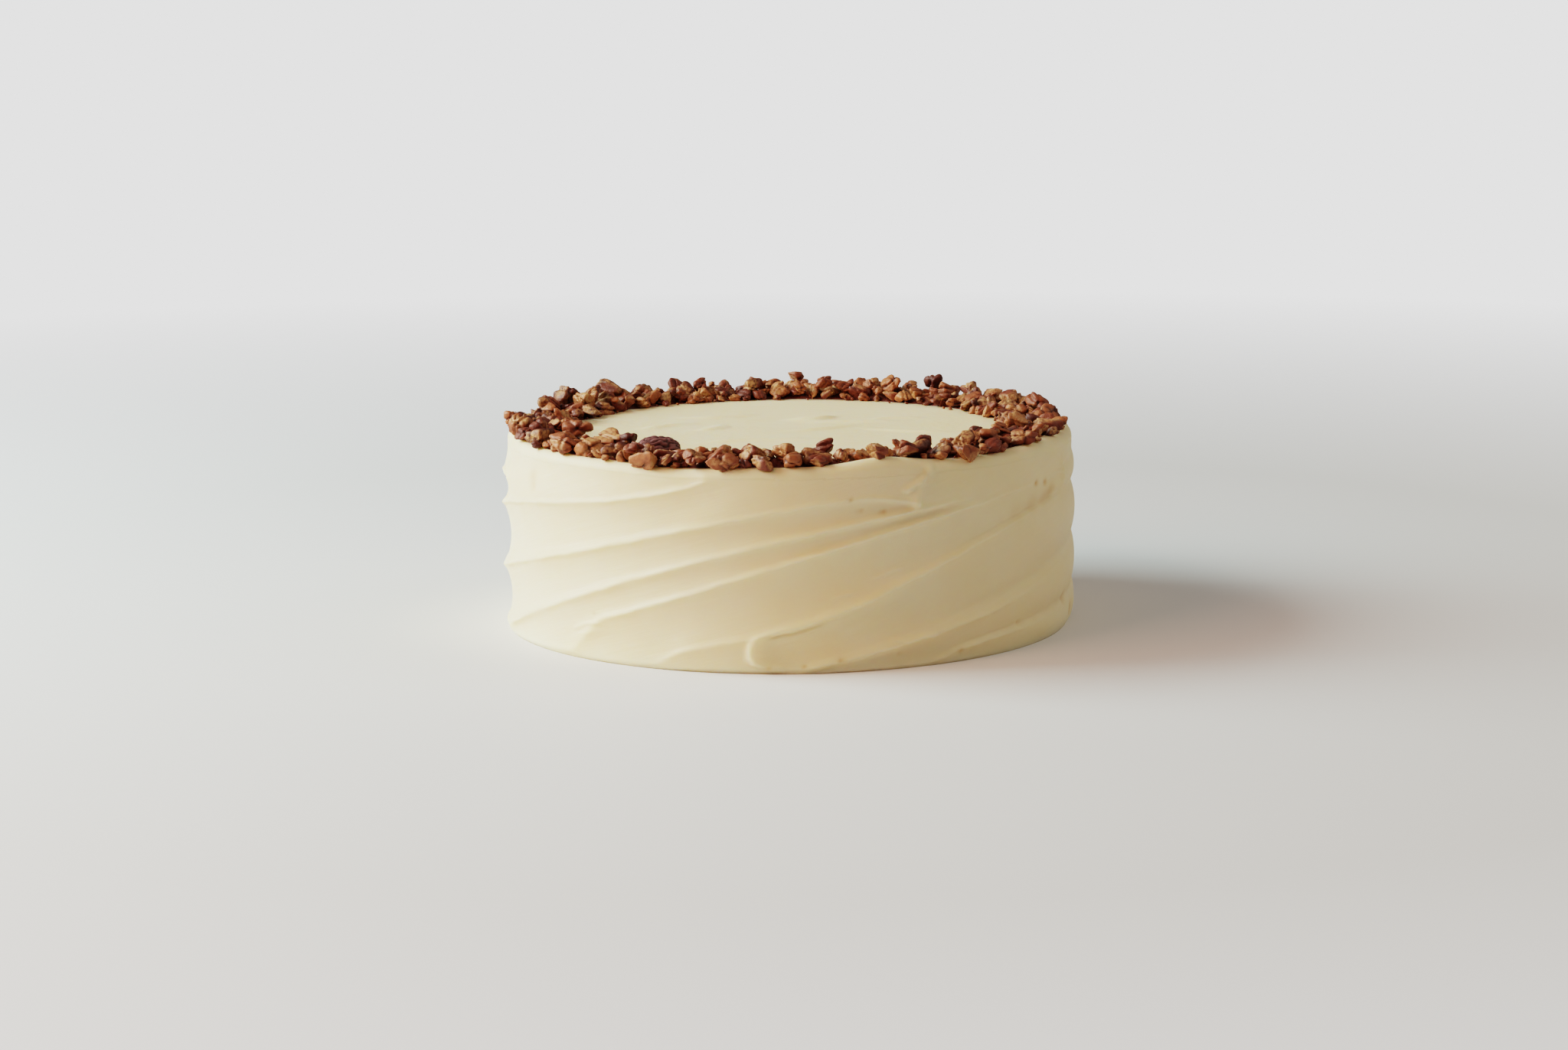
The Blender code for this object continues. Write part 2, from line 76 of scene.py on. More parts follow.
# Palette-knife strokes: each starts round near the foot, climbs to the right, and stops in a pocket or
# fades out. heights are those of the upper edge, at equal steps from start to end; lift is what the
# stroke adds to the rim, droop is how far its edge turns down at the end, and run_up and run_out are the
# lengths over which it comes in at its start and goes out at its end. The knife was pressed harder on
# some sides of the cake than on others, and on one side the strokes are lapped.
STROKE_DEPTH = 0.0017
SHALLOW_DEPTH = 0.0010
FULL_WIDTH = 0.0170
PRESSED_ANGLES = (-180, -92, -60, -40, -15, 25, 36, 45, 54, 66, 105, 128, 152, 180)
PRESSED_SHARES = (1.25, 1.45, 1.10, 0.85, 0.80, 1.50, 0.60, 0.0, -0.55, -1.15, -1.00, 0.0, 1.0, 1.25)
LAPPED_ANGLES = (24, 40, 56, 68, 92)
LAPPED_SHARES = (0.0, 0.9, 1.8, 1.4, 0.0)
DROOP = 0.0035
CRISP_START = 0.0015
SOFT_START = 0.022
CRISP_END = 0.0018
SOFT_END = 0.014
USUAL_STROKE = (0.0, DROOP, STROKE_DEPTH, SOFT_START, CRISP_END)
Stroke = namedtuple("Stroke", "start end heights lift droop depth run_up run_out", defaults=USUAL_STROKE)
FRONT_STROKES = (
    Stroke(-154, -16, (0.009, 0.033, 0.0523, 0.0625, 0.0765), -0.0014, 0.0, run_out=SOFT_END),
    Stroke(-118, 25, (0.010, 0.0268, 0.043, 0.061, 0.070), 0.0030),
    Stroke(-82, 36, (0.000, 0.0200, 0.0405, 0.0565, 0.0655), 0.0, 0.0, run_out=SOFT_END),
    Stroke(-50, 112, (0.010, 0.030, 0.056, 0.0700, 0.0775), 0.0, 0.0, run_out=SOFT_END),
    Stroke(-46, 71, (0.014, 0.0327, 0.0515, 0.0637, 0.0705), 0.0012),
    Stroke(-30, 30, (0.0, 0.0105, 0.017, 0.026, 0.036), 0.0, 0.0, SHALLOW_DEPTH, run_out=SOFT_END),
    Stroke(-8, 100, (0.0156, 0.0312, 0.0508, 0.0585, 0.0605), 0.0008, 0.0, run_up=CRISP_START),
    Stroke(-5, 118, (-0.0013, 0.0112, 0.0240, 0.0370, 0.0530), -0.0008),
    Stroke(26, 138, (0.001, 0.0088, 0.0135, 0.0280, 0.0500), 0.0016),
    Stroke(74, 186, (0.009, 0.027, 0.045, 0.060, 0.070), -0.0010),
)
BACK_STARTS = (107, 140, 173)
BACK_LENGTH = 112
BACK_HEIGHTS = (0.012, 0.029, 0.046, 0.060, 0.069)
BACK_UNEVEN = 0.0020
STROKE_SEED = 7

# How a stroke lies in the icing: a long hollow between its own upper edge and the next edge under it,
# where it fades out, with a low uneven crest along its edge. One that starts crisply stands out at its
# start and has a thin split under its edge. Where the pressed share is below zero the icing swells
# between the edges instead, which are creases there, and where strokes are lapped each stands out over
# the one above it. The slope is a usual stroke's climb, which the streaks in the icing follow.
STROKE_SLOPE = 0.28
START_RADIUS = 0.0068
DEEPENING = 0.012
SWELL = 0.0016
SWELL_LENGTH = 0.012
SPLIT = 0.0010
SPLIT_BELOW = 0.0018
SPLIT_WIDTH = 0.0007
SPLIT_FROM = 0.008
SPLIT_TO = 0.034
SPLIT_OPENING = 0.004
SPLIT_CLOSING = 0.008
LEAST_GAP = 0.004
FADE_FROM = 0.8
CREST_HEIGHT = 0.0008
CREST_WIDTH = 0.0011
CREST_LENGTH = 0.014
CREST_SHARE = 0.65
CREST_UNEVEN = 0.7
EDGE_SOFTNESS = 0.0008
RUN_IN = 20
DROOP_LENGTH = 0.022
END_CREST = 0.0010
END_CREST_WIDTH = 0.0020
END_CREST_REACH = 0.010
WOBBLE = 0.00030
WOBBLE_LENGTHS = (0.031, 0.017, 0.009)
STROKE_PHASE = 0.7
WAVE_PHASE = 2.1

# Rim: a lip of pushed-up icing, with the flat top inside it.
LIP_ROUND = 0.0042
LIP_WIDTH = 0.0052
LIP_FOOT = 0.0125
LIFT_WIDTH = 9
LIFT_BEHIND = 6

# How far the icing and the pecans may reach.
EASE = 0.0006
ICING_REACH = 0.1222
PECAN_REACH = 0.1200
PECAN_TOP = 0.0927

# Icing mesh.
COLUMNS = 480
SIDE_ROWS = 144
LIP_ROWS = 9
TOP_RINGS = 44

# Small marks in the side: depth is below the icing round it, or above it where negative; tan is how much it
# is painted tan there, mostly painted shade in pits and just above a stroke's edge. A mark is gone a few
# radii out.
MARK_REACH = 3.0
Mark = namedtuple("Mark", "angle height radius depth tan")
MARKS = (
    # Pits, painted tan inside as shade.
    Mark(12, 0.0690, 0.0009, 0.0007, 0.5),
    Mark(14, 0.0645, 0.0008, 0.0006, 0.6),
    Mark(18.5, 0.0635, 0.0010, 0.0008, 0.7),
    Mark(10, 0.0050, 0.0010, 0.0008, 0.8),
    Mark(22, 0.0060, 0.0008, 0.0006, 0.4),
    Mark(-4, 0.0025, 0.0009, 0.0007, 0.6),
    Mark(3, 0.0030, 0.0008, 0.0006, 0.5),
    Mark(35, 0.0045, 0.0010, 0.0007, 0.7),
    Mark(52, 0.0110, 0.0009, 0.0006, 0.5),
    Mark(-41, 0.0190, 0.0008, 0.0005, 0.4),
    # Broad shallow tan patches on the left side.
    Mark(-61, 0.0700, 0.0034, 0.0004, 0.35),
    Mark(-60, 0.0665, 0.0020, 0.0003, 0.30),
    # Two more pits with painted shade, then a painted shadow: a tan wedge just above a stroke's edge.
    Mark(57.6, 0.0668, 0.0012, 0.0007, 0.9),
    Mark(61.2, 0.0662, 0.0012, 0.0007, 0.9),
    Mark(64.1, 0.0618, 0.0034, 0.0004, 0.50),
    Mark(61.5, 0.0602, 0.0034, 0.0002, 0.35),
    Mark(56.5, 0.0588, 0.0042, 0.0001, 0.26),
    Mark(51.0, 0.0572, 0.0042, 0.0001, 0.16),
    # Two wider hollows with painted shade in them.
    Mark(73, 0.0135, 0.0022, 0.0010, 0.5),
    Mark(79, 0.0070, 0.0026, 0.0010, 0.6),
    Mark(-46, 0.0140, 0.0008, -0.0004, 0.0),
    Mark(-44, 0.0145, 0.0006, -0.0004, 0.0),
    Mark(-38, 0.0195, 0.0008, -0.0005, 0.0),
    Mark(10, 0.0270, 0.0008, -0.0005, 0.0),
    Mark(21, 0.0090, 0.0008, -0.0006, 0.0),
    Mark(42, 0.0170, 0.0007, -0.0004, 0.0),
    Mark(30, 0.0380, 0.0007, -0.0004, 0.0),
)

# Folds: small lips of icing thrown up where a stroke was broken off, through points of angle and height.
Fold = namedtuple("Fold", "points rise width")
FOLDS = (
    Fold(((25.4, 0.0660), (26.0, 0.0715), (26.6, 0.0755), (28.8, 0.0800)), 0.0017, 0.0011),
    Fold(((26.4, 0.0752), (25.0, 0.0738), (23.2, 0.0716)), 0.0015, 0.0011),
    Fold(((-46.5, 0.0120), (-43.0, 0.0150), (-39.5, 0.0160)), 0.0006, 0.0008),
    Fold(((20.5, 0.0120), (23.0, 0.0105), (26.5, 0.0125), (29.0, 0.0122)), 0.0008, 0.0008),
    Fold(((9.5, 0.0305), (12.5, 0.0318)), 0.0006, 0.0008),
    Fold(((17.0, 0.0372), (20.5, 0.0396), (22.5, 0.0405)), 0.0006, 0.0008),
)

# Smears on the flat top: low curved ridges. turn is in degrees from +X, bend is how much it curves.
Smear = namedtuple("Smear", "x y length turn bend height")
SMEARS = (
    Smear(0.012, 0.028, 0.020, 20, 0.6, 0.0016),
    Smear(0.028, 0.020, 0.038, -4, 0.1, 0.0009),
    Smear(-0.052, 0.012, 0.024, 40, -0.4, 0.0010),
    Smear(-0.028, 0.038, 0.030, 15, 0.3, 0.0009),
    Smear(0.050, -0.010, 0.034, -20, 0.4, 0.0008),
    Smear(-0.012, -0.030, 0.044, 8, -0.3, 0.0009),
    Smear(0.015, 0.000, 0.030, 30, 0.2, 0.0008),
    Smear(-0.030, 0.004, 0.018, 62, 0.5, 0.0010),
    Smear(0.046, 0.030, 0.022, 12, -0.5, 0.0009),
)
SMEAR_WIDTH = 0.0026

# Pecans: a ring of broken pieces, some laid in their own places and the others strewn in any order of size.
RING_INNER = 0.0890
RING_OUTER = 0.1180
STREWN_PIECES = 217
LARGEST = 0.0068
SMALLEST = 0.0031
SIZE_FALL = 0.50
EDGE_INSET = 0.6
TRIES = 10
NEST = 0.80
SIT = 0.62
HEAP_HEIGHT = 0.0140
PIECE_SHAPE = (1.28, 0.98, 0.80)
PIECE_TILT = 30
PECAN_SEED = 21
Piece = namedtuple("Piece", "middle radius turns")

# The laid pieces: lift is the middle's height over the icing, and turn is away from along the ring.
Laid = namedtuple("Laid", "angle out lift radius turn")
LAID_PIECES = (
    Laid(-90, 0.1158, 0.0040, 0.0044, 15),
    Laid(-48, 0.0965, 0.0060, 0.0062, 10),
    Laid(-38.5, 0.1105, 0.0040, 0.0048, 60),
    Laid(-29, 0.1165, 0.0022, 0.0056, -8),
    Laid(-18.7, 0.1125, 0.0045, 0.0050, 80),
    Laid(-12.7, 0.1166, 0.0024, 0.0054, 35),
    Laid(-6.8, 0.1075, 0.0058, 0.0049, 30),
    Laid(-0.9, 0.1075, 0.0070, 0.0046, 75),
    Laid(6.5, 0.1085, 0.0042, 0.0049, 5),
    Laid(11.4, 0.1080, 0.0046, 0.0035, 80),
    Laid(16.2, 0.1080, 0.0032, 0.0050, 10),
    Laid(21.8, 0.1060, 0.0044, 0.0034, 60),
    Laid(28, 0.1070, 0.0048, 0.0057, 15),
    Laid(33.5, 0.0990, 0.0070, 0.0036, 0),
    Laid(37.5, 0.1184, 0.0012, 0.0058, 70),
    Laid(42, 0.1060, 0.0062, 0.0051, 40),
    Laid(49, 0.1080, 0.0058, 0.0053, 20),
)
FRONT_THINNING = 0.30
FRONT_SPREAD = 38
BARE_ANGLE = 16
BARE_SPREAD = 8
BARE_THINNING = 0.62

# The crumbly bed under the pieces, where the ring is thick, darkened with painted shade.
BED_COLUMNS = 420
BED_ROWS = 30
BED_INNER = 0.0925
BED_OUTER = 0.1125
BED_REACH = 0.008
BED_SHARE = 0.55
BED_CRUMBLE = 0.0016
BED_GRAIN = 460.0
BED_SINK = 0.0012
BED_ROOT = 0.0024
# How much painted shade darkens the bed.
BED_PAINTED_SHADE = 0.75
BED_TINT = 0.5

# Smaller pieces and crumbs, which fill in between the others.
BITS = 240
LARGEST_BIT = 0.0030
SMALLEST_BIT = 0.0016
CRUMBS = 90
LARGEST_CRUMB = 0.0013
SMALLEST_CRUMB = 0.0006
BIT_SEED = 57
TINTS = 0.88

# Sorts of broken pieces: how many shapes each is drawn from, how fine these are, and their seed.
Sort = namedtuple("Sort", "name shapes fineness seed")
SORTS = (
    Sort("pecan_chunks", 16, 4, 100),
    Sort("pecan_pieces", 16, 4, 200),
    Sort("pecan_bits", 8, 3, 300),
    Sort("pecan_crumbs", 4, 1, 400),
)

# One shape, drawn about 1 in radius: a plump skin with lobes and furrows, and flat breaks through it,
# some of which show the flesh. A shade is painted shade on the skin, darker in furrows and lighter on
# lobes.
SHAPE_SCALE = 0.97
SHAPE_UNEVEN = (0.84, 1.06)
LOBES = 3
LOBE_SIZES = (0.45, 0.80)
LOBE_HEIGHTS = (0.05, 0.30)
FURROWS = 3
FURROW_PLACES = (-0.5, 0.5)
FURROW_DEPTHS = (0.08, 0.24)
FURROW_WIDTH = 0.13
BREAKS = 8
BREAK_PLACES = (0.42, 0.86)
FLESHY = 0.50
LEAST_FACING = 0.05
EDGE_SHARPNESS = 16.0
ROUGHNESS = 0.06
ROUGH_SCALE = 3.0
ROUGH_SPAN = 50.0
SKIN_SHADE = 0.30
FURROW_SHADE = 2.4
LOBE_SHADE = 0.8

# Whole pecan half, lying with its lobed side up at the ring's inner edge.
HALF_LENGTH = 0.0190
HALF_WIDTH = 0.0142
HALF_HEIGHT = 0.0088
HALF_ANGLE = -34
HALF_OUT = 0.0925
HALF_TURN = 58
HALF_ROLL = 7
HALF_LOBES = 0.13
HALF_BLUNTNESS = 0.75
HALF_UPPER = 0.72
HALF_CLEARANCE = 0.0085
HALF_RINGS = 90
HALF_SIDES = 120
GAP = 0.0003

# Wrinkles of its skin: long slanting folds, with finer ones between them. Their depth also sets painted
# shade in them.
WRINKLE_ALONG = Vector((2.4, -1.3, 0.0))
WRINKLE_ACROSS = Vector((0.5, 4.6, 0.0))
WRINKLE_START = Vector((0.0, 0.0, 3.7))
WRINKLE_BREADTH = 0.8
WRINKLE_DEPTH = 0.13
WRINKLE_PULL = 0.4
WRINKLE_SHADE = 9.0
FINE_SCALE = 2.3
FINE_START = Vector((9.0, 4.0, 1.0))
FINE_DEPTH = 0.035
TIP_SHADE = 0.5

# Finishes. Colours are linear. A depth is how far light goes in, for red, green and blue; a bump is its
# strength and its height; a gloss is the range of the roughness; and a scale is larger for a finer pattern.
CREAM = (0.87, 0.755, 0.530)
BUTTER = (0.86, 0.732, 0.485)
# TAN is painted into the marks, mostly as painted shade in pits and above a stroke's edge.
TAN = (0.66, 0.43, 0.19)
SKIN_LIGHT = (0.43, 0.175, 0.080)
SKIN_RED = (0.25, 0.078, 0.047)
SKIN_DARK = (0.095, 0.034, 0.028)
FLESH = (0.48, 0.245, 0.118)
FLESH_PALE = (0.62, 0.390, 0.205)
HALF_SKIN = (0.255, 0.128, 0.128)
HALF_DARK = (0.102, 0.047, 0.045)
CREAM_DEPTH = (0.010, 0.0065, 0.0035)
PECAN_DEPTH = (0.0014, 0.0006, 0.0003)
CREAM_BUMP = (0.45, 0.0005)
PECAN_BUMP = (0.6, 0.0005)
HALF_BUMP = (0.4, 0.0004)
CREAM_GLOSS = (0.46, 0.60)
PECAN_GLOSS = (0.42, 0.62)
HALF_GLOSS = (0.46, 0.62)
PATCH_SCALE = 30.0
STREAK_SCALE = 330.0
STREAK_STRETCH = (0.10, 1.0, 1.0)
GRAIN_SCALE = 1500.0
GRAIN_SHARE = 0.12
PECAN_SCALE = 420.0
HALF_SCALE = 300.0
FLESH_SCALE = 260.0
RAGGED_SCALE = 700.0
PATCH_RANGE = (0.40, 0.68)
STREAK_RANGE = (0.3, 0.7)
FLESH_RANGE = (0.35, 0.65)
RAGGED_RANGE = (0.30, 0.60)
WRINKLE_RANGE = (0.5, 1.1)

# The pecans' skin, from its light colour by the middle one to the dark, and painted dark again as shade
# where it is sunk.
WRINKLE_FINENESS = 3.2
MOTTLE_SHARE = 0.9
MOTTLE_RELIEF = 0.6
SUNK_WRINKLES = 0.5
TO_MIDDLE = (0.45, 0.95)
TO_DARK = (0.95, 1.45)
TO_SUNK = (0.62, 1.25)
HALF_TINT = 0.35

# Camera, lights and the ground, which fades into the backdrop.
CAMERA_LENS = 84.48
CAMERA_PLACE = (-0.0014, -1.5385, 0.3032)
CAMERA_DOWN = 9.73
CAMERA_TURN = -0.51
FLOOR_SIZE = 6.0
FLOOR_COLOUR = (0.80, 0.80, 0.82)
FLOOR_ROUGHNESS = 0.6
FLOOR_SHINE = 0.1
FLOOR_FADE = (0.45, 1.30)
BACKDROP = 0.97
SKY_LIGHT = 0.15
SKY_COLOUR = (1.0, 0.92, 0.89)
AIM = (0.0, 0.0, 0.05)
LIGHT_SIZE = 1.0
Light = namedtuple("Light", "name angle rise distance power colour")
LIGHTS = (
    Light("window", -95, 28, 1.6, 30.2, (0.80, 0.98, 0.955)),
    Light("side", -55, 30, 1.8, 12.5, (1.0, 0.60, 0.42)),
    Light("rim", 92, 42, 1.8, 6.0, (1.0, 0.92, 0.76)),
)


def smooth(low, high, value):
    """Rises from 0 at low to 1 at high, level at both ends."""
    share = np.clip((value - low) / (high - low), 0.0, 1.0)
    return share * share * (3.0 - 2.0 * share)


def eased(values, limit):
    """The values with those near a limit or over it pressed together just under it."""
    over = np.maximum(values - limit + EASE, 0.0)
    return np.minimum(values, limit - EASE) + EASE * (1.0 - np.exp(-over / EASE))


def around(angle, out, height):
    """The point at an angle round the cake, a distance out from its middle and a height."""
    turn = math.radians(angle)
    return (out * math.sin(turn), -out * math.cos(turn), height)


def angle_within(angle):
    """The same angle between -180 and 180."""
    return (angle + 180.0) % 360.0 - 180.0


def turned(angle, start):
    """Degrees from start round to angle, from just before the start to nearly once round."""
    return (angle - start + RUN_IN) % 360.0 - RUN_IN


def rough(place):
    """Noise in three sizes, each half the one before it."""
    return noise.fractal(place, 1.0, 2.0, 3)


def store(mesh, name, values, kind="FLOAT"):
    """Stores a value for each of a mesh's points under a name."""
    field = "vector" if kind == "FLOAT_VECTOR" else "value"
    mesh.attributes.new(name, kind, "POINT").data.foreach_set(field, values)


def band_faces(columns, rows, wrapped=False):
    """Faces of a closed band between its columns of points; wrapped joins each last row to the first."""
    faces = []
    for column in range(columns):
        first = column * rows
        beside = (column + 1) % columns * rows
        for row in range(rows if wrapped else rows - 1):
            above = (row + 1) % rows
            faces.append((first + row, beside + row, beside + above, first + above))
    return faces


def back_strokes():
    """The strokes on the far side, which follow the front ones' rule a little unevenly."""
    rng = random.Random(STROKE_SEED)
    strokes = []
    for start in BACK_STARTS:
        heights = tuple(height + rng.uniform(-BACK_UNEVEN, BACK_UNEVEN) for height in BACK_HEIGHTS)
        lift = rng.uniform(-BACK_UNEVEN, BACK_UNEVEN)
        strokes.append(Stroke(start, start + BACK_LENGTH, heights, lift))
    return strokes


STROKES = FRONT_STROKES + tuple(back_strokes())


def wobble(stroke, along):
    """The small waver of a stroke's edge, unlike any other stroke's."""
    waves = []
    for index, length in enumerate(WOBBLE_LENGTHS):
        phase = STROKE_PHASE * stroke.start + WAVE_PHASE * index
        waves.append(math.sin(math.tau * along / length + phase))
    return WOBBLE * sum(waves) / len(waves)


def reach_to(stroke, angle):
    """How long a stroke is, and how far along it an angle lies."""
    length = math.radians(stroke.end - stroke.start) * CAKE_RADIUS
    return length, math.radians(turned(angle, stroke.start)) * CAKE_RADIUS


def upper_edge(stroke, angle):
    """Height of a stroke's upper edge, which may droop into the pocket at its end."""
    length, along = reach_to(stroke, angle)
    steps = np.linspace(0.0, 1.0, len(stroke.heights))
    curve = np.polyfit(steps, stroke.heights, len(steps) - 1)
    share = min(max(along / length, 0.0), 1.0)
    level = np.polyval(curve, share) + wobble(stroke, along)
    return level - stroke.droop * smooth(length - DROOP_LENGTH, length, along)


def gap_under(stroke, angle):
    """How far it is from a stroke's upper edge down to that of a younger one, or to the foot."""
    edge = upper_edge(stroke, angle)
    age = turned(angle, stroke.start)
    younger = [other for other in STROKES if turned(angle, other.start) < age]
    floor = 0.0
    for other in sorted(younger, key=lambda other: upper_edge(other, angle)):
        length, along = reach_to(other, angle)
        level = upper_edge(other, angle)
        if level < edge:
            shows = smooth(0.0, SOFT_START, along) * (1.0 - smooth(length - SOFT_END, length, along))
            floor += (level - floor) * shows
    return max(edge - floor, LEAST_GAP)


def hollow_share(angle, gap, below):
    """How deep a stroke is at each height under its edge, as a share of its full depth."""
    pressed = np.interp(angle_within(angle), PRESSED_ANGLES, PRESSED_SHARES)
    lapped = np.interp(angle_within(angle), LAPPED_ANGLES, LAPPED_SHARES)
    share = np.clip(below / gap, 0.0, 1.0)
    bowed = 4.0 * share * (1.0 - share)
    return (bowed * pressed + share * lapped) * math.sqrt(gap / FULL_WIDTH)


def start_relief(stroke, along, below, cover):
    """How a stroke swells at its start, with the thin split under the edge of a crisp one."""
    swell = SWELL * cover * math.exp(-((along / SWELL_LENGTH) ** 2)) * CRISP_START / stroke.run_up
    if stroke.run_up > CRISP_START:
        return swell
    opened = smooth(SPLIT_FROM, SPLIT_FROM + SPLIT_OPENING, along)
    closed = smooth(SPLIT_TO - SPLIT_CLOSING, SPLIT_TO, along)
    return swell - SPLIT * opened * (1.0 - closed) * np.exp(-(((below - SPLIT_BELOW) / SPLIT_WIDTH) ** 2))


def edge_crest(stroke, angle, along, from_edge):
    """The low uneven crest along a stroke's edge, which goes where the icing swells instead."""
    pressed = np.interp(angle_within(angle), PRESSED_ANGLES, PRESSED_SHARES)
    uneven = CREST_SHARE + CREST_UNEVEN * noise.noise(Vector((along / CREST_LENGTH, stroke.start, 0.0)))
    height = CREST_HEIGHT * uneven * min(max(1.0 + pressed, 0.0), 1.0) * stroke.depth / STROKE_DEPTH
    return height * np.exp(-((from_edge / CREST_WIDTH) ** 2))


def end_crest(stroke, past_end, below):
    """The crest across a stroke where it stops, short above its edge and under it."""
    height = END_CREST * stroke.depth / STROKE_DEPTH * CRISP_END / stroke.run_out
    beside = smooth(-END_CREST_REACH, 0.0, below) * (1.0 - smooth(0.0, END_CREST_REACH, below))
    return height * math.exp(-((past_end / END_CREST_WIDTH) ** 2)) * beside


def stamp(relief, stroke, angle, heights):
    """The relief up one column of the side after a stroke has gone over it."""
    length, along = reach_to(stroke, angle)
    if along > length + END_CREST_REACH:
        return relief
    gap = gap_under(stroke, angle)
    below = upper_edge(stroke, angle) - heights
    bulge = np.clip((below - START_RADIUS) / START_RADIUS, -1.0, 1.0)
    from_start = along - START_RADIUS * (1.0 - np.sqrt(1.0 - bulge**2))
    kept = 1.0 - smooth(length - stroke.run_out, length + stroke.run_out, along)
    kept = kept * smooth(-EDGE_SOFTNESS, stroke.run_up, from_start)
    kept = kept * (1.0 - smooth(FADE_FROM * gap, gap, below))
    cover = kept * smooth(-EDGE_SOFTNESS, EDGE_SOFTNESS, below)
    hollow = stroke.depth * hollow_share(angle, gap, below) * smooth(0.0, DEEPENING, from_start)
    relief = relief * (1.0 - cover) - hollow * cover + start_relief(stroke, along, below, cover)
    crest = kept * edge_crest(stroke, angle, along, np.minimum(from_start, below))
    return relief + crest + end_crest(stroke, along - length, below)


def side_relief(angle, heights):
    """How far the icing stands out from the cake's radius at each height of one column."""
    lean = LEAN_LEFT + (LEAN_RIGHT - LEAN_LEFT) * (0.5 + 0.5 * math.sin(math.radians(angle)))
    tuck = FOOT_TUCK * (1.0 - smooth(0.0, FOOT_HEIGHT, heights))
    relief = lean * smooth(LEAN_LOW, LEAN_HIGH, heights) - tuck
    oldest_first = sorted(STROKES, key=lambda stroke: -turned(angle, stroke.start))
    for stroke in oldest_first:
        relief = stamp(relief, stroke, angle, heights)
    return relief


def rim_height(angle):
    """Height of the lip, raised or dragged down where each stroke runs out."""
    height = RIM_HEIGHT
    for stroke in STROKES:
        apart = angle_within(angle - stroke.end + LIFT_BEHIND)
        height += stroke.lift * math.exp(-((apart / LIFT_WIDTH) ** 2))
    return height


def top_height(angle, out):
    """Height of the icing's top, level in the middle and raised to the lip at the edge."""
    raised = float(smooth(CAKE_RADIUS - LIP_FOOT, CAKE_RADIUS - LIP_WIDTH, out))
    return TOP_HEIGHT + (rim_height(angle) - TOP_HEIGHT) * raised


def marks_on(angle, heights):
    """The depth of the small marks up one column of the side, and how tan it is painted there, mostly as
    shade.
    """
    depth = np.zeros_like(heights)
    tan = np.zeros_like(heights)
    for mark in MARKS:
        aside = math.radians(angle_within(angle - mark.angle)) * CAKE_RADIUS
        if abs(aside) > MARK_REACH * mark.radius:
            continue
        near = np.exp(-((aside**2 + (heights - mark.height) ** 2) / mark.radius**2))
        depth += mark.depth * near
        tan += mark.tan * near
    return depth, np.clip(tan, 0.0, 1.0)


def folds_on(angle, heights):
    """How far the folds stand out up one column of the side."""
    raised = np.zeros_like(heights)
    for fold in FOLDS:
        distance = np.full_like(heights, 1.0)
        for (near, low), (far, high) in zip(fold.points, fold.points[1:]):
            run = math.radians(far - near) * CAKE_RADIUS
            climb = high - low
            aside = math.radians(angle_within(angle - near)) * CAKE_RADIUS
            share = np.clip((aside * run + (heights - low) * climb) / (run**2 + climb**2), 0.0, 1.0)
            distance = np.minimum(distance, np.hypot(aside - share * run, heights - low - share * climb))
        raised += fold.rise * np.exp(-((distance / fold.width) ** 2))
    return raised


def smears_on(x, y):
    """Height that the smears add to the flat top at a point."""
    height = 0.0
    for smear in SMEARS:
        turn = math.radians(smear.turn)
        along = (x - smear.x) * math.cos(turn) + (y - smear.y) * math.sin(turn)
        aside = (y - smear.y) * math.cos(turn) - (x - smear.x) * math.sin(turn)
        aside -= smear.bend * along**2 / smear.length
        fade = math.exp(-((2.0 * along / smear.length) ** 4))
        height += smear.height * fade * math.exp(-((aside / SMEAR_WIDTH) ** 2))
    return height


def icing_column(angle):
    """One column of the icing from its foot to near its middle: its points, and how tan each is."""
    rim = rim_height(angle)
    shoulder = rim - LIP_ROUND
    heights = np.linspace(0.0, shoulder, SIDE_ROWS + 1)
    depth, tan = marks_on(angle, heights)
    outs = CAKE_RADIUS + side_relief(angle, heights) + folds_on(angle, heights) - depth
    outs = eased(outs, ICING_REACH)
    points = [around(angle, out, height) for out, height in zip(outs, heights)]
    inner = CAKE_RADIUS - LIP_WIDTH
    for row in range(1, LIP_ROWS + 1):
        turn = 0.5 * math.pi * row / LIP_ROWS
        out = outs[-1] - (outs[-1] - inner) * (1.0 - math.cos(turn))
        points.append(around(angle, out, shoulder + LIP_ROUND * math.sin(turn)))
    for ring in range(1, TOP_RINGS):
        out = inner * (1.0 - ring / TOP_RINGS)
        x, y, _ = around(angle, out, 0.0)
        points.append((x, y, top_height(angle, out) + smears_on(x, y)))
    return points, list(tan) + [0.0] * (len(points) - len(tan))


def icing_mesh():
    """The iced cake as one closed mesh, its foot flat on the ground."""
    columns = [icing_column(360.0 * index / COLUMNS) for index in range(COLUMNS)]
    rows = len(columns[0][0])
    verts = [point for points, _ in columns for point in points]
    tan = [value for _, values in columns for value in values]
    verts.append((0.0, 0.0, TOP_HEIGHT + smears_on(0.0, 0.0)))
    tan.append(0.0)
    faces = band_faces(COLUMNS, rows)
    for index in range(COLUMNS):
        beside = (index + 1) % COLUMNS
        faces.append(((index + 1) * rows - 1, (beside + 1) * rows - 1, len(verts) - 1))
    faces.append([index * rows for index in reversed(range(COLUMNS))])
    mesh = bpy.data.meshes.new("cream_icing")
    mesh.from_pydata(verts, [], faces)
    store(mesh, "tan", tan)
    store_smear(mesh)
    mesh.shade_smooth()
    return mesh


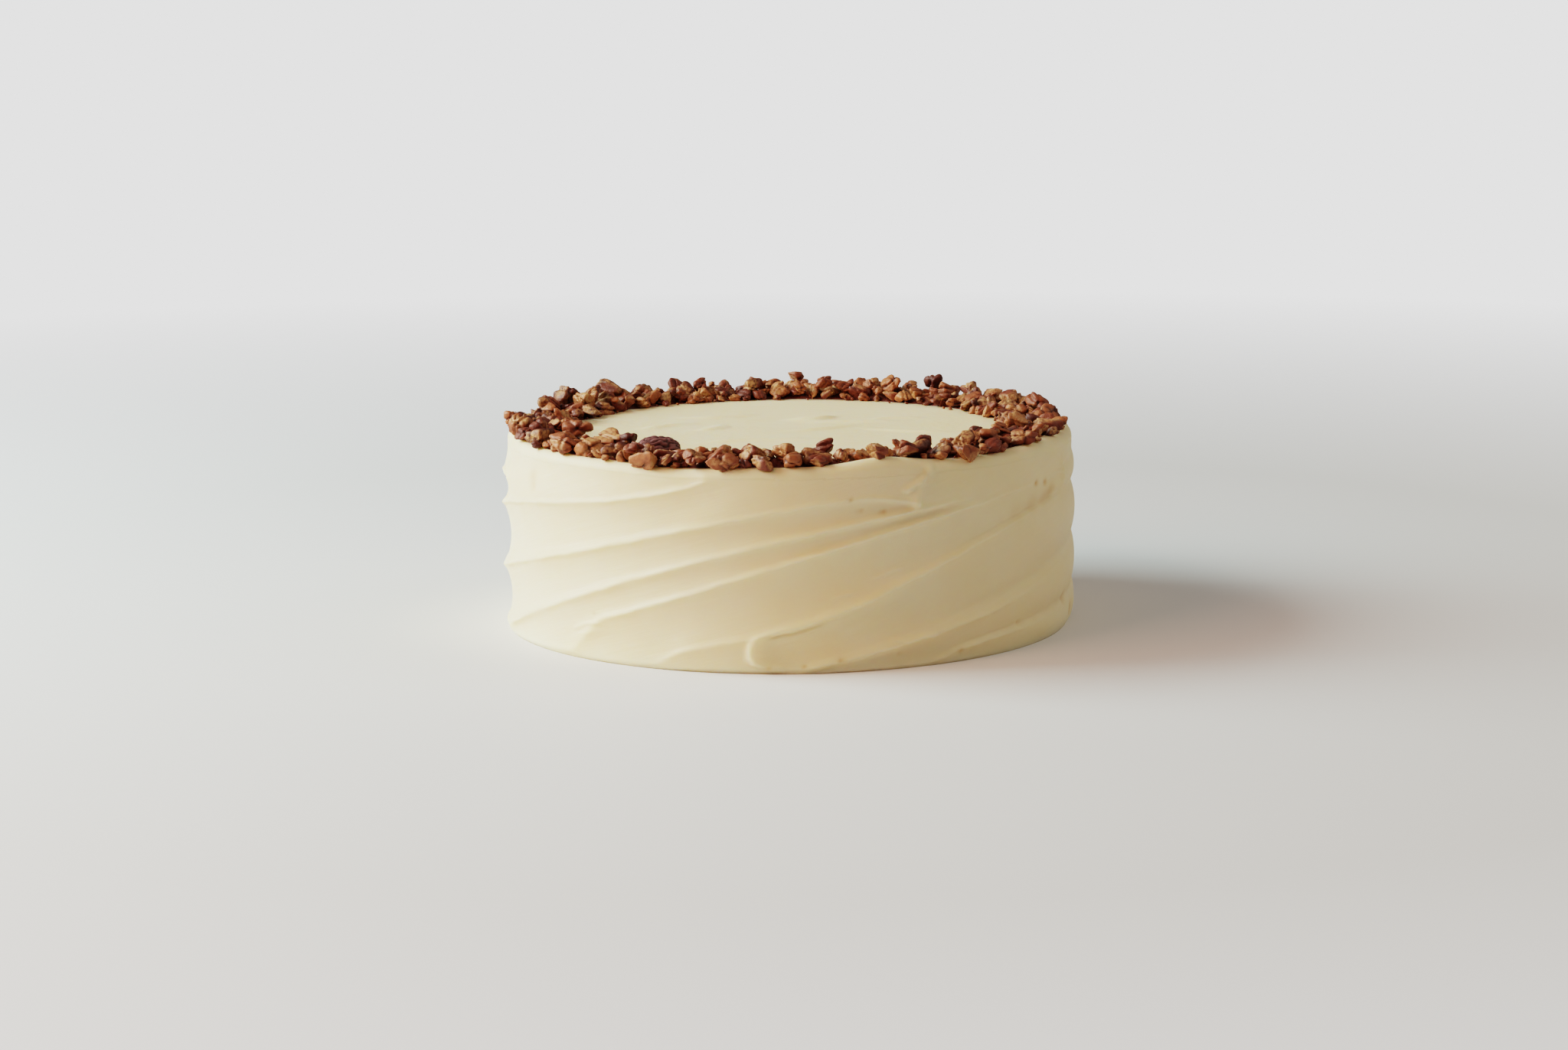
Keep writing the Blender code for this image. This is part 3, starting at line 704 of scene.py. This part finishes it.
def store_smear(mesh):
    """Stores each point's place along and across the way the knife went, for streaks in the icing."""
    places = []
    for vert in mesh.vertices:
        x, y, z = vert.co
        out = math.hypot(x, y)
        if z < RIM_HEIGHT - LIP_ROUND:
            along = math.atan2(x, -y) * CAKE_RADIUS
            places += (along, z - STROKE_SLOPE * along, 0.0)
        else:
            places += (x, y, out)
    store(mesh, "smear", places, "FLOAT_VECTOR")


def fullness(angle):
    """How thickly the pecans lie at an angle, from 1 down to nearly bare."""
    front = FRONT_THINNING * math.exp(-((angle / FRONT_SPREAD) ** 2))
    bare = BARE_THINNING * math.exp(-(((angle - BARE_ANGLE) / BARE_SPREAD) ** 2))
    return 1.0 - front - bare


def near_half(x, y, radius):
    """Whether a piece would lie on the whole pecan half."""
    half_x, half_y, _ = around(HALF_ANGLE, HALF_OUT, 0.0)
    return math.hypot(x - half_x, y - half_y) < HALF_CLEARANCE + radius


def rest_height(x, y, floor, radius, heap):
    """How high a piece's middle comes to rest on the icing and on the pieces already there."""
    span = NEST * (radius + heap[:, 3])
    left = span**2 - (heap[:, 0] - x) ** 2 - (heap[:, 1] - y) ** 2
    under = left > 0.0
    on_pieces = heap[under, 2] + np.sqrt(left[under])
    return max([floor + SIT * radius, *on_pieces])


def random_turns(rng):
    """A piece's turns about X, Y and Z: a little off flat, and any way round."""
    tilt = math.radians(PIECE_TILT)
    return (rng.uniform(-tilt, tilt), rng.uniform(-tilt, tilt), rng.uniform(0.0, math.tau))


def tried_place(rng, radius, heap):
    """One place for a piece, where the ring is thick enough to have it."""
    while True:
        angle = rng.uniform(-180.0, 180.0)
        out = rng.uniform(RING_INNER + radius, RING_OUTER - EDGE_INSET * radius)
        x, y, _ = around(angle, out, 0.0)
        if rng.random() > fullness(angle) or near_half(x, y, radius):
            continue
        height = rest_height(x, y, top_height(angle, out), radius, heap)
        if height + PIECE_SHAPE[2] * radius < TOP_HEIGHT + HEAP_HEIGHT:
            return (x, y, height)


def strewn(pieces, sizes, rng):
    """The pieces with others strewn over them, each in the lowest of the places tried for it."""
    pieces = list(pieces)
    heap = np.array([(*piece.middle, piece.radius) for piece in pieces])
    for radius in sizes:
        tries = [tried_place(rng, radius, heap) for _ in range(TRIES)]
        lowest = min(tries, key=lambda middle: middle[2])
        pieces.append(Piece(lowest, radius, random_turns(rng)))
        heap = np.vstack([heap, (*lowest, radius)])
    return pieces


def sizes_between(largest, smallest, count):
    """Sizes that fall from the largest to the smallest."""
    shares = [(index / count) ** SIZE_FALL for index in range(count)]
    return [largest * (smallest / largest) ** share for share in shares]


def chunks():
    """The pieces as large as the CAD model's, in the same places."""
    rng = random.Random(PECAN_SEED)
    laid_pieces = []
    for laid in LAID_PIECES:
        middle = around(laid.angle, laid.out, top_height(laid.angle, laid.out) + laid.lift)
        turns = (0.0, 0.0, math.radians(laid.angle + laid.turn))
        laid_pieces.append(Piece(middle, laid.radius, turns))
    sizes = sizes_between(LARGEST, SMALLEST, STREWN_PIECES)
    rng.shuffle(sizes)
    return strewn(laid_pieces, sizes, rng)


def broken_nut(bm, rng, fineness):
    """Shapes a broken piece of pecan: a plump skin with lobes and furrows, and flat breaks through it."""
    hollow = bm.verts.layers.float.new("hollow")
    flesh = bm.verts.layers.float.new("flesh")
    lobes = []
    furrows = []
    breaks = []
    for _ in range(LOBES):
        lobes.append((random_direction(rng), rng.uniform(*LOBE_SIZES), rng.uniform(*LOBE_HEIGHTS)))
    for _ in range(FURROWS):
        furrows.append((random_direction(rng), rng.uniform(*FURROW_PLACES), rng.uniform(*FURROW_DEPTHS)))
    for _ in range(BREAKS):
        breaks.append((random_direction(rng), rng.uniform(*BREAK_PLACES), rng.random() < FLESHY))
    shift = Vector([rng.uniform(0.0, ROUGH_SPAN) for _ in range(3)])
    bmesh.ops.create_icosphere(bm, subdivisions=fineness, radius=1.0)
    for vert in bm.verts:
        way = vert.co.normalized()
        raised = sum(height * math.exp(-((way - lobe).length / size) ** 2) for lobe, size, height in lobes)
        cut = 0.0
        for side, off, depth in furrows:
            cut += depth * math.exp(-(((way.dot(side) - off) / FURROW_WIDTH) ** 2))
        outs = [1.0 + raised]
        for side, height, _ in breaks:
            outs.append(height / max(way.dot(side), LEAST_FACING))
        nearest = min(outs)
        weights = [math.exp(EDGE_SHARPNESS * (nearest - out)) for out in outs]
        out = nearest - math.log(sum(weights)) / EDGE_SHARPNESS
        vert.co = way * (out - cut + ROUGHNESS * rough(way * ROUGH_SCALE + shift))
        bare = sum(weight for weight, (_, _, fleshy) in zip(weights[1:], breaks) if fleshy)
        vert[flesh] = bare / sum(weights)
        # Painted shade: darker in the furrows and lighter on the lobes.
        vert[hollow] = min(max(SKIN_SHADE + FURROW_SHADE * cut - LOBE_SHADE * raised, 0.0), 1.0)
    fit(bm, [size * rng.uniform(*SHAPE_UNEVEN) for size in PIECE_SHAPE])


def fit(bm, sizes):
    """Stretches a piece to half its given length, width and height each way from its middle."""
    for axis, size in enumerate(sizes):
        places = [vert.co[axis] for vert in bm.verts]
        middle = 0.5 * (max(places) + min(places))
        share = size / (0.5 * (max(places) - min(places)))
        for vert in bm.verts:
            vert.co[axis] = (vert.co[axis] - middle) * share


def bed_mesh(pieces):
    """The uneven bed of crumbs under the pieces, as a closed low ring; its foot is inside the icing."""
    heap = np.array([(*piece.middle, piece.radius) for piece in pieces])
    rows = BED_ROWS + 1
    verts = []
    for column in range(BED_COLUMNS):
        angle = 360.0 * column / BED_COLUMNS
        for row in range(rows):
            share = row / BED_ROWS
            out = BED_OUTER + (BED_INNER - BED_OUTER) * share
            x, y, _ = around(angle, out, 0.0)
            floor = top_height(angle, out)
            near = np.hypot(heap[:, 0] - x, heap[:, 1] - y) < BED_REACH
            level = heap[near, 2].mean() - floor if near.any() else 0.0
            edge = math.sin(math.pi * share) ** 0.5 if 0 < row < BED_ROWS else 0.0
            crumble = BED_CRUMBLE * rough(Vector((x, y, 0.0)) * BED_GRAIN)
            height = (BED_SHARE * max(level, 0.0) * fullness(angle) + crumble) * edge
            verts.append((x, y, floor + height - BED_SINK * (1.0 - edge)))
        for out in (BED_INNER, BED_OUTER):
            verts.append(around(angle, out, TOP_HEIGHT - BED_ROOT))
    mesh = bpy.data.meshes.new("pecan_bed")
    mesh.from_pydata(verts, [], band_faces(BED_COLUMNS, rows + 2, wrapped=True))
    # Painted shade: the bed under the pieces is darkened.
    store(mesh, "hollow", [BED_PAINTED_SHADE] * len(verts))
    store(mesh, "tint", [BED_TINT] * len(verts))
    mesh.shade_smooth()
    return mesh


def random_direction(rng):
    """A direction, any one as likely as any other."""
    height = rng.uniform(-1.0, 1.0)
    turn = rng.uniform(0.0, math.tau)
    out = math.sqrt(1.0 - height**2)
    return Vector((out * math.cos(turn), out * math.sin(turn), height))


def nut_shapes(sort):
    """A collection of the different shapes that one sort of piece is drawn from."""
    collection = bpy.data.collections.new(f"{sort.name}_shapes")
    for index in range(sort.shapes):
        bm = bmesh.new()
        broken_nut(bm, random.Random(sort.seed + index), sort.fineness)
        mesh = bpy.data.meshes.new(f"{sort.name}_shape_{index:02d}")
        bm.to_mesh(mesh)
        bm.free()
        mesh.shade_smooth()
        collection.objects.link(bpy.data.objects.new(mesh.name, mesh))
    return collection


def points_mesh(sort, pieces):
    """A point for each piece, with its size, turns, tint and which of the shapes it has."""
    rng = random.Random(sort.seed)
    mesh = bpy.data.meshes.new(f"{sort.name}_points")
    mesh.from_pydata([piece.middle for piece in pieces], [], [])
    store(mesh, "size", [piece.radius for piece in pieces])
    store(mesh, "turns", [turn for piece in pieces for turn in piece.turns], "FLOAT_VECTOR")
    store(mesh, "kind", [rng.randrange(sort.shapes) for _ in pieces], "INT")
    store(mesh, "tint", [TINTS * rng.random() for _ in pieces])
    return mesh


def add_sockets(tree, way, **kinds):
    """Adds a node tree's named inputs or outputs, each of its kind."""
    for name, kind in kinds.items():
        tree.interface.new_socket(name, in_out=way, socket_type=f"NodeSocket{kind}")


def attribute_node(tree, name, kind):
    """The output of a node that reads a named attribute."""
    node = tree.nodes.new("GeometryNodeInputNamedAttribute")
    node.data_type = kind
    node.inputs["Name"].default_value = name
    return node.outputs["Attribute"]


def strewing_tree():
    """Puts one of a collection's shapes on every point, as large, turned and tinted as the point says."""
    tree = bpy.data.node_groups.new("strew_pieces", "GeometryNodeTree")
    add_sockets(tree, "INPUT", Points="Geometry", Shapes="Collection", Scale="Float", Finish="Material")
    add_sockets(tree, "OUTPUT", Pieces="Geometry")
    link = tree.links.new
    given = tree.nodes.new("NodeGroupInput")
    shapes = new_node(tree, "GeometryNodeCollectionInfo", Separate_Children=True, Reset_Children=True)
    link(given.outputs["Shapes"], shapes.inputs["Collection"])
    size = tree.nodes.new("ShaderNodeMath")
    size.operation = "MULTIPLY"
    link(attribute_node(tree, "size", "FLOAT"), size.inputs[0])
    link(given.outputs["Scale"], size.inputs[1])
    turn = tree.nodes.new("FunctionNodeEulerToRotation")
    link(attribute_node(tree, "turns", "FLOAT_VECTOR"), turn.inputs["Euler"])
    place = new_node(tree, "GeometryNodeInstanceOnPoints", Pick_Instance=True)
    link(given.outputs["Points"], place.inputs["Points"])
    link(shapes.outputs["Instances"], place.inputs["Instance"])
    link(attribute_node(tree, "kind", "INT"), place.inputs["Instance Index"])
    link(turn.outputs["Rotation"], place.inputs["Rotation"])
    link(size.outputs["Value"], place.inputs["Scale"])
    realize = tree.nodes.new("GeometryNodeRealizeInstances")
    link(place.outputs["Instances"], realize.inputs["Geometry"])
    finish = tree.nodes.new("GeometryNodeSetMaterial")
    link(realize.outputs["Geometry"], finish.inputs["Geometry"])
    link(given.outputs["Finish"], finish.inputs["Material"])
    out = tree.nodes.new("NodeGroupOutput")
    link(finish.outputs["Geometry"], out.inputs["Pieces"])
    return tree


def set_inputs(modifier, values):
    """Sets a Geometry Nodes modifier's inputs by their names."""
    for socket in modifier.node_group.interface.items_tree:
        if socket.in_out == "INPUT" and socket.name in values:
            modifier[socket.identifier] = values[socket.name]


def made_plain(obj):
    """Turns an object into the plain mesh that its modifiers show."""
    graph = bpy.context.evaluated_depsgraph_get()
    mesh = bpy.data.meshes.new_from_object(obj.evaluated_get(graph))
    old = obj.data
    obj.modifiers.clear()
    obj.data = mesh
    mesh.name = obj.name
    bpy.data.meshes.remove(old)


def strewn_piece(sort, pieces, tree, material):
    """One mesh of all the pieces of a sort, each in its place."""
    obj = add_object(sort.name, points_mesh(sort, pieces))
    shapes = nut_shapes(sort)
    modifier = obj.modifiers.new("strew", "NODES")
    modifier.node_group = tree
    set_inputs(modifier, {"Shapes": shapes, "Scale": SHAPE_SCALE, "Finish": material})
    made_plain(obj)
    keep_within(obj.data)
    for shape in list(shapes.objects):
        bpy.data.meshes.remove(shape.data)
    bpy.data.collections.remove(shapes)
    return obj


def keep_within(mesh):
    """Presses in what stands out over the side or over the ring's highest level."""
    for vert in mesh.vertices:
        x, y, z = vert.co
        out = math.hypot(x, y)
        share = eased(out, PECAN_REACH) / out
        vert.co = (x * share, y * share, eased(z, PECAN_TOP))


def add_object(name, mesh):
    """A new object in the scene."""
    obj = bpy.data.objects.new(name, mesh)
    bpy.context.scene.collection.objects.link(obj)
    return obj


def half_point(lengthwise, across, wrinkle):
    """A point on the pecan half: lengthwise from end to end and across round it, both as angles."""
    plump = math.sin(lengthwise) ** HALF_BLUNTNESS
    lobes = HALF_LOBES * math.sin(3.0 * across) ** 2 * max(math.sin(across), 0.0) * plump
    thick = plump * (1.0 - lobes - wrinkle)
    height = HALF_HEIGHT * (HALF_UPPER if math.sin(across) > 0.0 else 1.0 - HALF_UPPER)
    x = -0.5 * HALF_LENGTH * math.cos(lengthwise) * (1.0 - WRINKLE_PULL * wrinkle)
    return Vector((x, 0.5 * HALF_WIDTH * thick * math.cos(across), height * thick * math.sin(across)))


def half_wrinkle(lengthwise, across):
    """How deep the skin's wrinkles are at a point, as a share of the half's thickness."""
    place = WRINKLE_ALONG * lengthwise + WRINKLE_ACROSS * across + WRINKLE_START
    folds = abs(noise.noise(place)) ** WRINKLE_BREADTH
    fine = abs(noise.noise(place * FINE_SCALE + FINE_START))
    return WRINKLE_DEPTH * (1.0 - folds) ** 3 + FINE_DEPTH * (1.0 - fine) ** 2


def half_mesh():
    """The whole pecan half, turned and rolled a little, just clear of the icing."""
    verts = []
    hollow = []
    for side in range(HALF_SIDES):
        across = math.tau * side / HALF_SIDES
        for ring in range(1, HALF_RINGS):
            lengthwise = math.pi * ring / HALF_RINGS
            wrinkle = half_wrinkle(lengthwise, abs(across - math.pi))
            verts.append(half_point(lengthwise, across, wrinkle))
            # Painted shade, darker the deeper the wrinkle.
            hollow.append(min(1.0, WRINKLE_SHADE * wrinkle))
    rows = HALF_RINGS - 1
    faces = band_faces(HALF_SIDES, rows)
    for side in range(HALF_SIDES):
        beside = (side + 1) % HALF_SIDES
        faces.append((beside * rows, side * rows, len(verts)))
        faces.append(((side + 1) * rows - 1, (beside + 1) * rows - 1, len(verts) + 1))
    verts += [Vector((-0.5 * HALF_LENGTH, 0.0, 0.0)), Vector((0.5 * HALF_LENGTH, 0.0, 0.0))]
    hollow += [TIP_SHADE, TIP_SHADE]
    turn = Euler((math.radians(HALF_ROLL), 0.0, math.radians(HALF_ANGLE + HALF_TURN))).to_matrix()
    verts = [turn @ vert for vert in verts]
    x, y, _ = around(HALF_ANGLE, HALF_OUT, 0.0)
    middle = Vector((x, y, TOP_HEIGHT + GAP - min(vert.z for vert in verts)))
    mesh = bpy.data.meshes.new("pecan_half_wrinkled")
    mesh.from_pydata([vert + middle for vert in verts], [], faces)
    store(mesh, "hollow", hollow)
    mesh.shade_smooth()
    return mesh


def new_node(tree, kind, **values):
    """A new node with its inputs set by name, spaces written as underscores."""
    node = tree.nodes.new(kind)
    for name, value in values.items():
        node.inputs[name.replace("_", " ")].default_value = value
    return node


def mixed(tree, share, first, second):
    """The output of a colour mix, from the first to the second; each is a colour or a socket."""
    node = tree.nodes.new("ShaderNodeMix")
    node.data_type = "RGBA"
    for socket, value in ((node.inputs[0], share), (node.inputs[6], first), (node.inputs[7], second)):
        if isinstance(value, bpy.types.NodeSocket):
            tree.links.new(value, socket)
        elif isinstance(value, tuple):
            socket.default_value = (*value, 1.0)
        else:
            socket.default_value = value
    return node.outputs[2]


def noise_of(tree, vector, scale, detail, roughness=0.5):
    """The output of a noise texture read at a vector."""
    node = new_node(tree, "ShaderNodeTexNoise", Scale=scale, Detail=detail, Roughness=roughness)
    tree.links.new(vector, node.inputs["Vector"])
    return node.outputs["Fac"]


def ranged(tree, value, low, high, to_low=0.0, to_high=1.0):
    """A value stretched from one range to another and kept inside it."""
    node = new_node(tree, "ShaderNodeMapRange", From_Min=low, From_Max=high, To_Min=to_low, To_Max=to_high)
    tree.links.new(value, node.inputs["Value"])
    return node.outputs["Result"]


def calculated(tree, operation, first, second):
    """The output of a sum or a product of two values or sockets."""
    node = tree.nodes.new("ShaderNodeMath")
    node.operation = operation
    for socket, value in zip(node.inputs, (first, second)):
        if isinstance(value, bpy.types.NodeSocket):
            tree.links.new(value, socket)
        else:
            socket.default_value = value
    return node.outputs[0]


def plus_part(tree, first, second, part):
    """The first value with a part of the second added to it."""
    return calculated(tree, "ADD", first, calculated(tree, "MULTIPLY", second, part))


def new_material(name, depth, bump, **values):
    """A material with its shader's plain values set, and its tree, shader and bump node."""
    material = bpy.data.materials.new(name)
    material.use_nodes = True
    tree = material.node_tree
    shader = tree.nodes["Principled BSDF"]
    for socket, value in values.items():
        shader.inputs[socket.replace("_", " ")].default_value = value
    shader.inputs["Subsurface Radius"].default_value = depth
    shader.inputs["Subsurface Scale"].default_value = 1.0
    relief = new_node(tree, "ShaderNodeBump", Strength=bump[0], Distance=bump[1])
    tree.links.new(relief.outputs["Normal"], shader.inputs["Normal"])
    return material, tree, shader, relief


def read(tree, name, output="Fac"):
    """The output of a node that reads one of the mesh's own attributes."""
    node = tree.nodes.new("ShaderNodeAttribute")
    node.attribute_name = name
    return node.outputs[output]


def place_on(tree):
    """The output that says where a point is on the piece."""
    return tree.nodes.new("ShaderNodeTexCoord").outputs["Object"]


def icing_material():
    """Soft cream icing: faint butter-coloured patches, tan marks mostly of painted shade, knife streaks and
    a satin surface.
    """
    material, tree, shader, relief = new_material(
        "cream_icing", CREAM_DEPTH, CREAM_BUMP, Subsurface_Weight=0.5, Specular_IOR_Level=0.34
    )
    link = tree.links.new
    stretch = new_node(tree, "ShaderNodeMapping", Scale=STREAK_STRETCH)
    link(read(tree, "smear", "Vector"), stretch.inputs["Vector"])
    streaks = noise_of(tree, stretch.outputs["Vector"], STREAK_SCALE, 4.0, 0.55)
    place = place_on(tree)
    patches = ranged(tree, noise_of(tree, place, PATCH_SCALE, 3.0), *PATCH_RANGE)
    grain = noise_of(tree, place, GRAIN_SCALE, 3.0)
    colour = mixed(tree, patches, CREAM, BUTTER)
    # Painted tan in the marks, mostly painted shade in pits and above a stroke's edge.
    colour = mixed(tree, read(tree, "tan"), colour, TAN)
    link(colour, shader.inputs["Base Color"])
    link(ranged(tree, streaks, *STREAK_RANGE, *CREAM_GLOSS), shader.inputs["Roughness"])
    link(plus_part(tree, streaks, grain, GRAIN_SHARE), relief.inputs["Height"])
    return material


def nut_group():
    """Shared by both pecan finishes: mottled skin, painted shade in furrows and sunk places, and a wrinkled
    surface.
    """
    tree = bpy.data.node_groups.new("nut_skin", "ShaderNodeTree")
    link = tree.links.new
    add_sockets(tree, "INPUT", Vector="Vector", Tint="Float", Hollow="Float", Grain="Float")
    add_sockets(tree, "INPUT", Light="Color", Middle="Color", Dark="Color")
    add_sockets(tree, "OUTPUT", Color="Color", Height="Float")
    given = tree.nodes.new("NodeGroupInput")
    scaled = tree.nodes.new("ShaderNodeVectorMath")
    scaled.operation = "SCALE"
    link(given.outputs["Vector"], scaled.inputs[0])
    link(given.outputs["Grain"], scaled.inputs["Scale"])
    mottle = noise_of(tree, scaled.outputs["Vector"], 1.0, 4.0, 0.6)
    wrinkles = noise_of(tree, scaled.outputs["Vector"], WRINKLE_FINENESS, 3.0, 0.6)
    level = plus_part(tree, given.outputs["Tint"], mottle, MOTTLE_SHARE)
    colour = mixed(tree, ranged(tree, level, *TO_MIDDLE), given.outputs["Light"], given.outputs["Middle"])
    colour = mixed(tree, ranged(tree, level, *TO_DARK), colour, given.outputs["Dark"])
    # Painted shade: darker where the skin is sunk.
    sunk = ranged(tree, plus_part(tree, given.outputs["Hollow"], wrinkles, SUNK_WRINKLES), *TO_SUNK)
    colour = mixed(tree, sunk, colour, given.outputs["Dark"])
    out = tree.nodes.new("NodeGroupOutput")
    link(colour, out.inputs["Color"])
    link(plus_part(tree, wrinkles, mottle, MOTTLE_RELIEF), out.inputs["Height"])
    return tree


def skin_node(tree, group, light, middle, dark, grain):
    """The shared skin placed in a material with its own colours."""
    node = tree.nodes.new("ShaderNodeGroup")
    node.node_tree = group
    for name, colour in (("Light", light), ("Middle", middle), ("Dark", dark)):
        node.inputs[name].default_value = (*colour, 1.0)
    node.inputs["Grain"].default_value = grain
    tree.links.new(place_on(tree), node.inputs["Vector"])
    tree.links.new(read(tree, "hollow"), node.inputs["Hollow"])
    return node


def broken_material(group):
    """Toasted broken pecans: orange-brown to nearly black skin, and paler ragged breaks."""
    material, tree, shader, relief = new_material(
        "broken_pecan",
        PECAN_DEPTH,
        PECAN_BUMP,
        Subsurface_Weight=0.15,
        Coat_Weight=0.18,
        Coat_Roughness=0.35,
    )
    link = tree.links.new
    skin = skin_node(tree, group, SKIN_LIGHT, SKIN_RED, SKIN_DARK, PECAN_SCALE)
    link(read(tree, "tint"), skin.inputs["Tint"])
    place = place_on(tree)
    pale = ranged(tree, noise_of(tree, place, FLESH_SCALE, 3.0), *FLESH_RANGE)
    ragged = ranged(tree, noise_of(tree, place, RAGGED_SCALE, 3.0), *RAGGED_RANGE)
    bare = calculated(tree, "MULTIPLY", ragged, read(tree, "flesh"))
    colour = mixed(tree, bare, skin.outputs["Color"], mixed(tree, pale, FLESH, FLESH_PALE))
    link(colour, shader.inputs["Base Color"])
    gloss = ranged(tree, skin.outputs["Height"], *WRINKLE_RANGE, *PECAN_GLOSS)
    link(gloss, shader.inputs["Roughness"])
    link(skin.outputs["Height"], relief.inputs["Height"])
    return material


def whole_material(group):
    """The whole half's dark purple-brown skin, lighter on the folds, with painted shade in the wrinkles
    between them.
    """
    material, tree, shader, relief = new_material(
        "whole_pecan", PECAN_DEPTH, HALF_BUMP, Subsurface_Weight=0.05, Coat_Weight=0.12, Coat_Roughness=0.4
    )
    link = tree.links.new
    skin = skin_node(tree, group, HALF_SKIN, HALF_SKIN, HALF_DARK, HALF_SCALE)
    skin.inputs["Tint"].default_value = HALF_TINT
    link(skin.outputs["Color"], shader.inputs["Base Color"])
    gloss = ranged(tree, skin.outputs["Height"], *WRINKLE_RANGE, *HALF_GLOSS)
    link(gloss, shader.inputs["Roughness"])
    link(skin.outputs["Height"], relief.inputs["Height"])
    return material


def declare(obj, node):
    """Attaches a finished piece to the root body and hides the CAD node it stands for."""
    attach(obj, "root")
    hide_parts(node)


def build_piece(name, mesh, material, node):
    """A finished piece made from its mesh."""
    obj = add_object(name, mesh)
    mesh.materials.append(material)
    declare(obj, node)


def build_ring(group):
    """The pecan ring: its bed, and the broken pieces from the largest down to the crumbs."""
    broken = broken_material(group)
    large = chunks()
    rng = random.Random(BIT_SEED)
    with_bits = strewn(large, sizes_between(LARGEST_BIT, SMALLEST_BIT, BITS), rng)
    with_crumbs = strewn(with_bits, sizes_between(LARGEST_CRUMB, SMALLEST_CRUMB, CRUMBS), rng)
    build_piece("pecan_bed", bed_mesh(large), broken, "pecan_ring")
    by_size = sorted(large, key=lambda piece: -piece.radius)
    most = len(by_size) // 2
    lots = (by_size[:most], by_size[most:], with_bits[len(large) :], with_crumbs[len(with_bits) :])
    tree = strewing_tree()
    for sort, pieces in zip(SORTS, lots):
        declare(strewn_piece(sort, pieces, tree, broken), "pecan_ring")


def build_cake():
    """Every piece of the cake."""
    group = nut_group()
    build_piece("cream_icing", icing_mesh(), icing_material(), "iced_cake")
    build_piece("whole_pecan_half", half_mesh(), whole_material(group), "pecan_half")
    build_ring(group)


def area_light(light):
    """A square soft light that faces the cake."""
    lamp = bpy.data.lights.new(light.name, "AREA")
    lamp.size = LIGHT_SIZE
    lamp.energy = light.power
    lamp.color = light.colour
    rise = math.radians(light.rise)
    flat = around(light.angle, light.distance * math.cos(rise), light.distance * math.sin(rise))
    obj = add_object(light.name, lamp)
    obj.location = Vector(flat) + Vector(AIM)
    obj.rotation_euler = (-Vector(flat)).to_track_quat("-Z", "Y").to_euler()


def ground_material():
    """Pale and matt, and clear far out, where the backdrop takes over."""
    material = bpy.data.materials.new("ground")
    material.use_nodes = True
    tree = material.node_tree
    shader = tree.nodes["Principled BSDF"]
    shader.inputs["Base Color"].default_value = (*FLOOR_COLOUR, 1.0)
    shader.inputs["Roughness"].default_value = FLOOR_ROUGHNESS
    shader.inputs["Specular IOR Level"].default_value = FLOOR_SHINE
    length = tree.nodes.new("ShaderNodeVectorMath")
    length.operation = "LENGTH"
    tree.links.new(place_on(tree), length.inputs[0])
    near, far = FLOOR_FADE
    tree.links.new(ranged(tree, length.outputs["Value"], near, far, 1.0, 0.0), shader.inputs["Alpha"])
    return material


def studio_world():
    """A pale backdrop for the camera, and softer light from all round for everything else."""
    world = bpy.data.worlds.new("studio")
    world.use_nodes = True
    tree = world.node_tree
    link = tree.links.new
    sky = tree.nodes["Background"]
    sky.inputs["Color"].default_value = (*SKY_COLOUR, 1.0)
    sky.inputs["Strength"].default_value = SKY_LIGHT
    backdrop = new_node(tree, "ShaderNodeBackground", Color=(1.0, 1.0, 1.0, 1.0), Strength=BACKDROP)
    either = tree.nodes.new("ShaderNodeMixShader")
    link(tree.nodes.new("ShaderNodeLightPath").outputs["Is Camera Ray"], either.inputs["Fac"])
    link(sky.outputs["Background"], either.inputs[1])
    link(backdrop.outputs["Background"], either.inputs[2])
    link(either.outputs["Shader"], tree.nodes["World Output"].inputs["Surface"])
    return world


def build_stage():
    """The camera, soft studio light and a plain pale ground."""
    camera = bpy.data.cameras.new("camera")
    camera.lens = CAMERA_LENS
    view = add_object("camera", camera)
    tilt = Matrix.Rotation(math.radians(90.0 - CAMERA_DOWN), 4, "X")
    spin = Matrix.Rotation(math.radians(CAMERA_TURN), 4, "Z")
    view.matrix_world = Matrix.Translation(CAMERA_PLACE) @ tilt @ spin
    bpy.context.scene.camera = view
    half = 0.5 * FLOOR_SIZE
    corners = [(-half, -half, 0.0), (half, -half, 0.0), (half, half, 0.0), (-half, half, 0.0)]
    mesh = bpy.data.meshes.new("ground")
    mesh.from_pydata(corners, [], [(0, 1, 2, 3)])
    mesh.materials.append(ground_material())
    add_object("ground", mesh)
    for light in LIGHTS:
        area_light(light)
    scene = bpy.context.scene
    scene.world = studio_world()
    scene.view_settings.view_transform = "Filmic"
    scene.view_settings.look = "Very High Contrast"


build_cake()
build_stage()
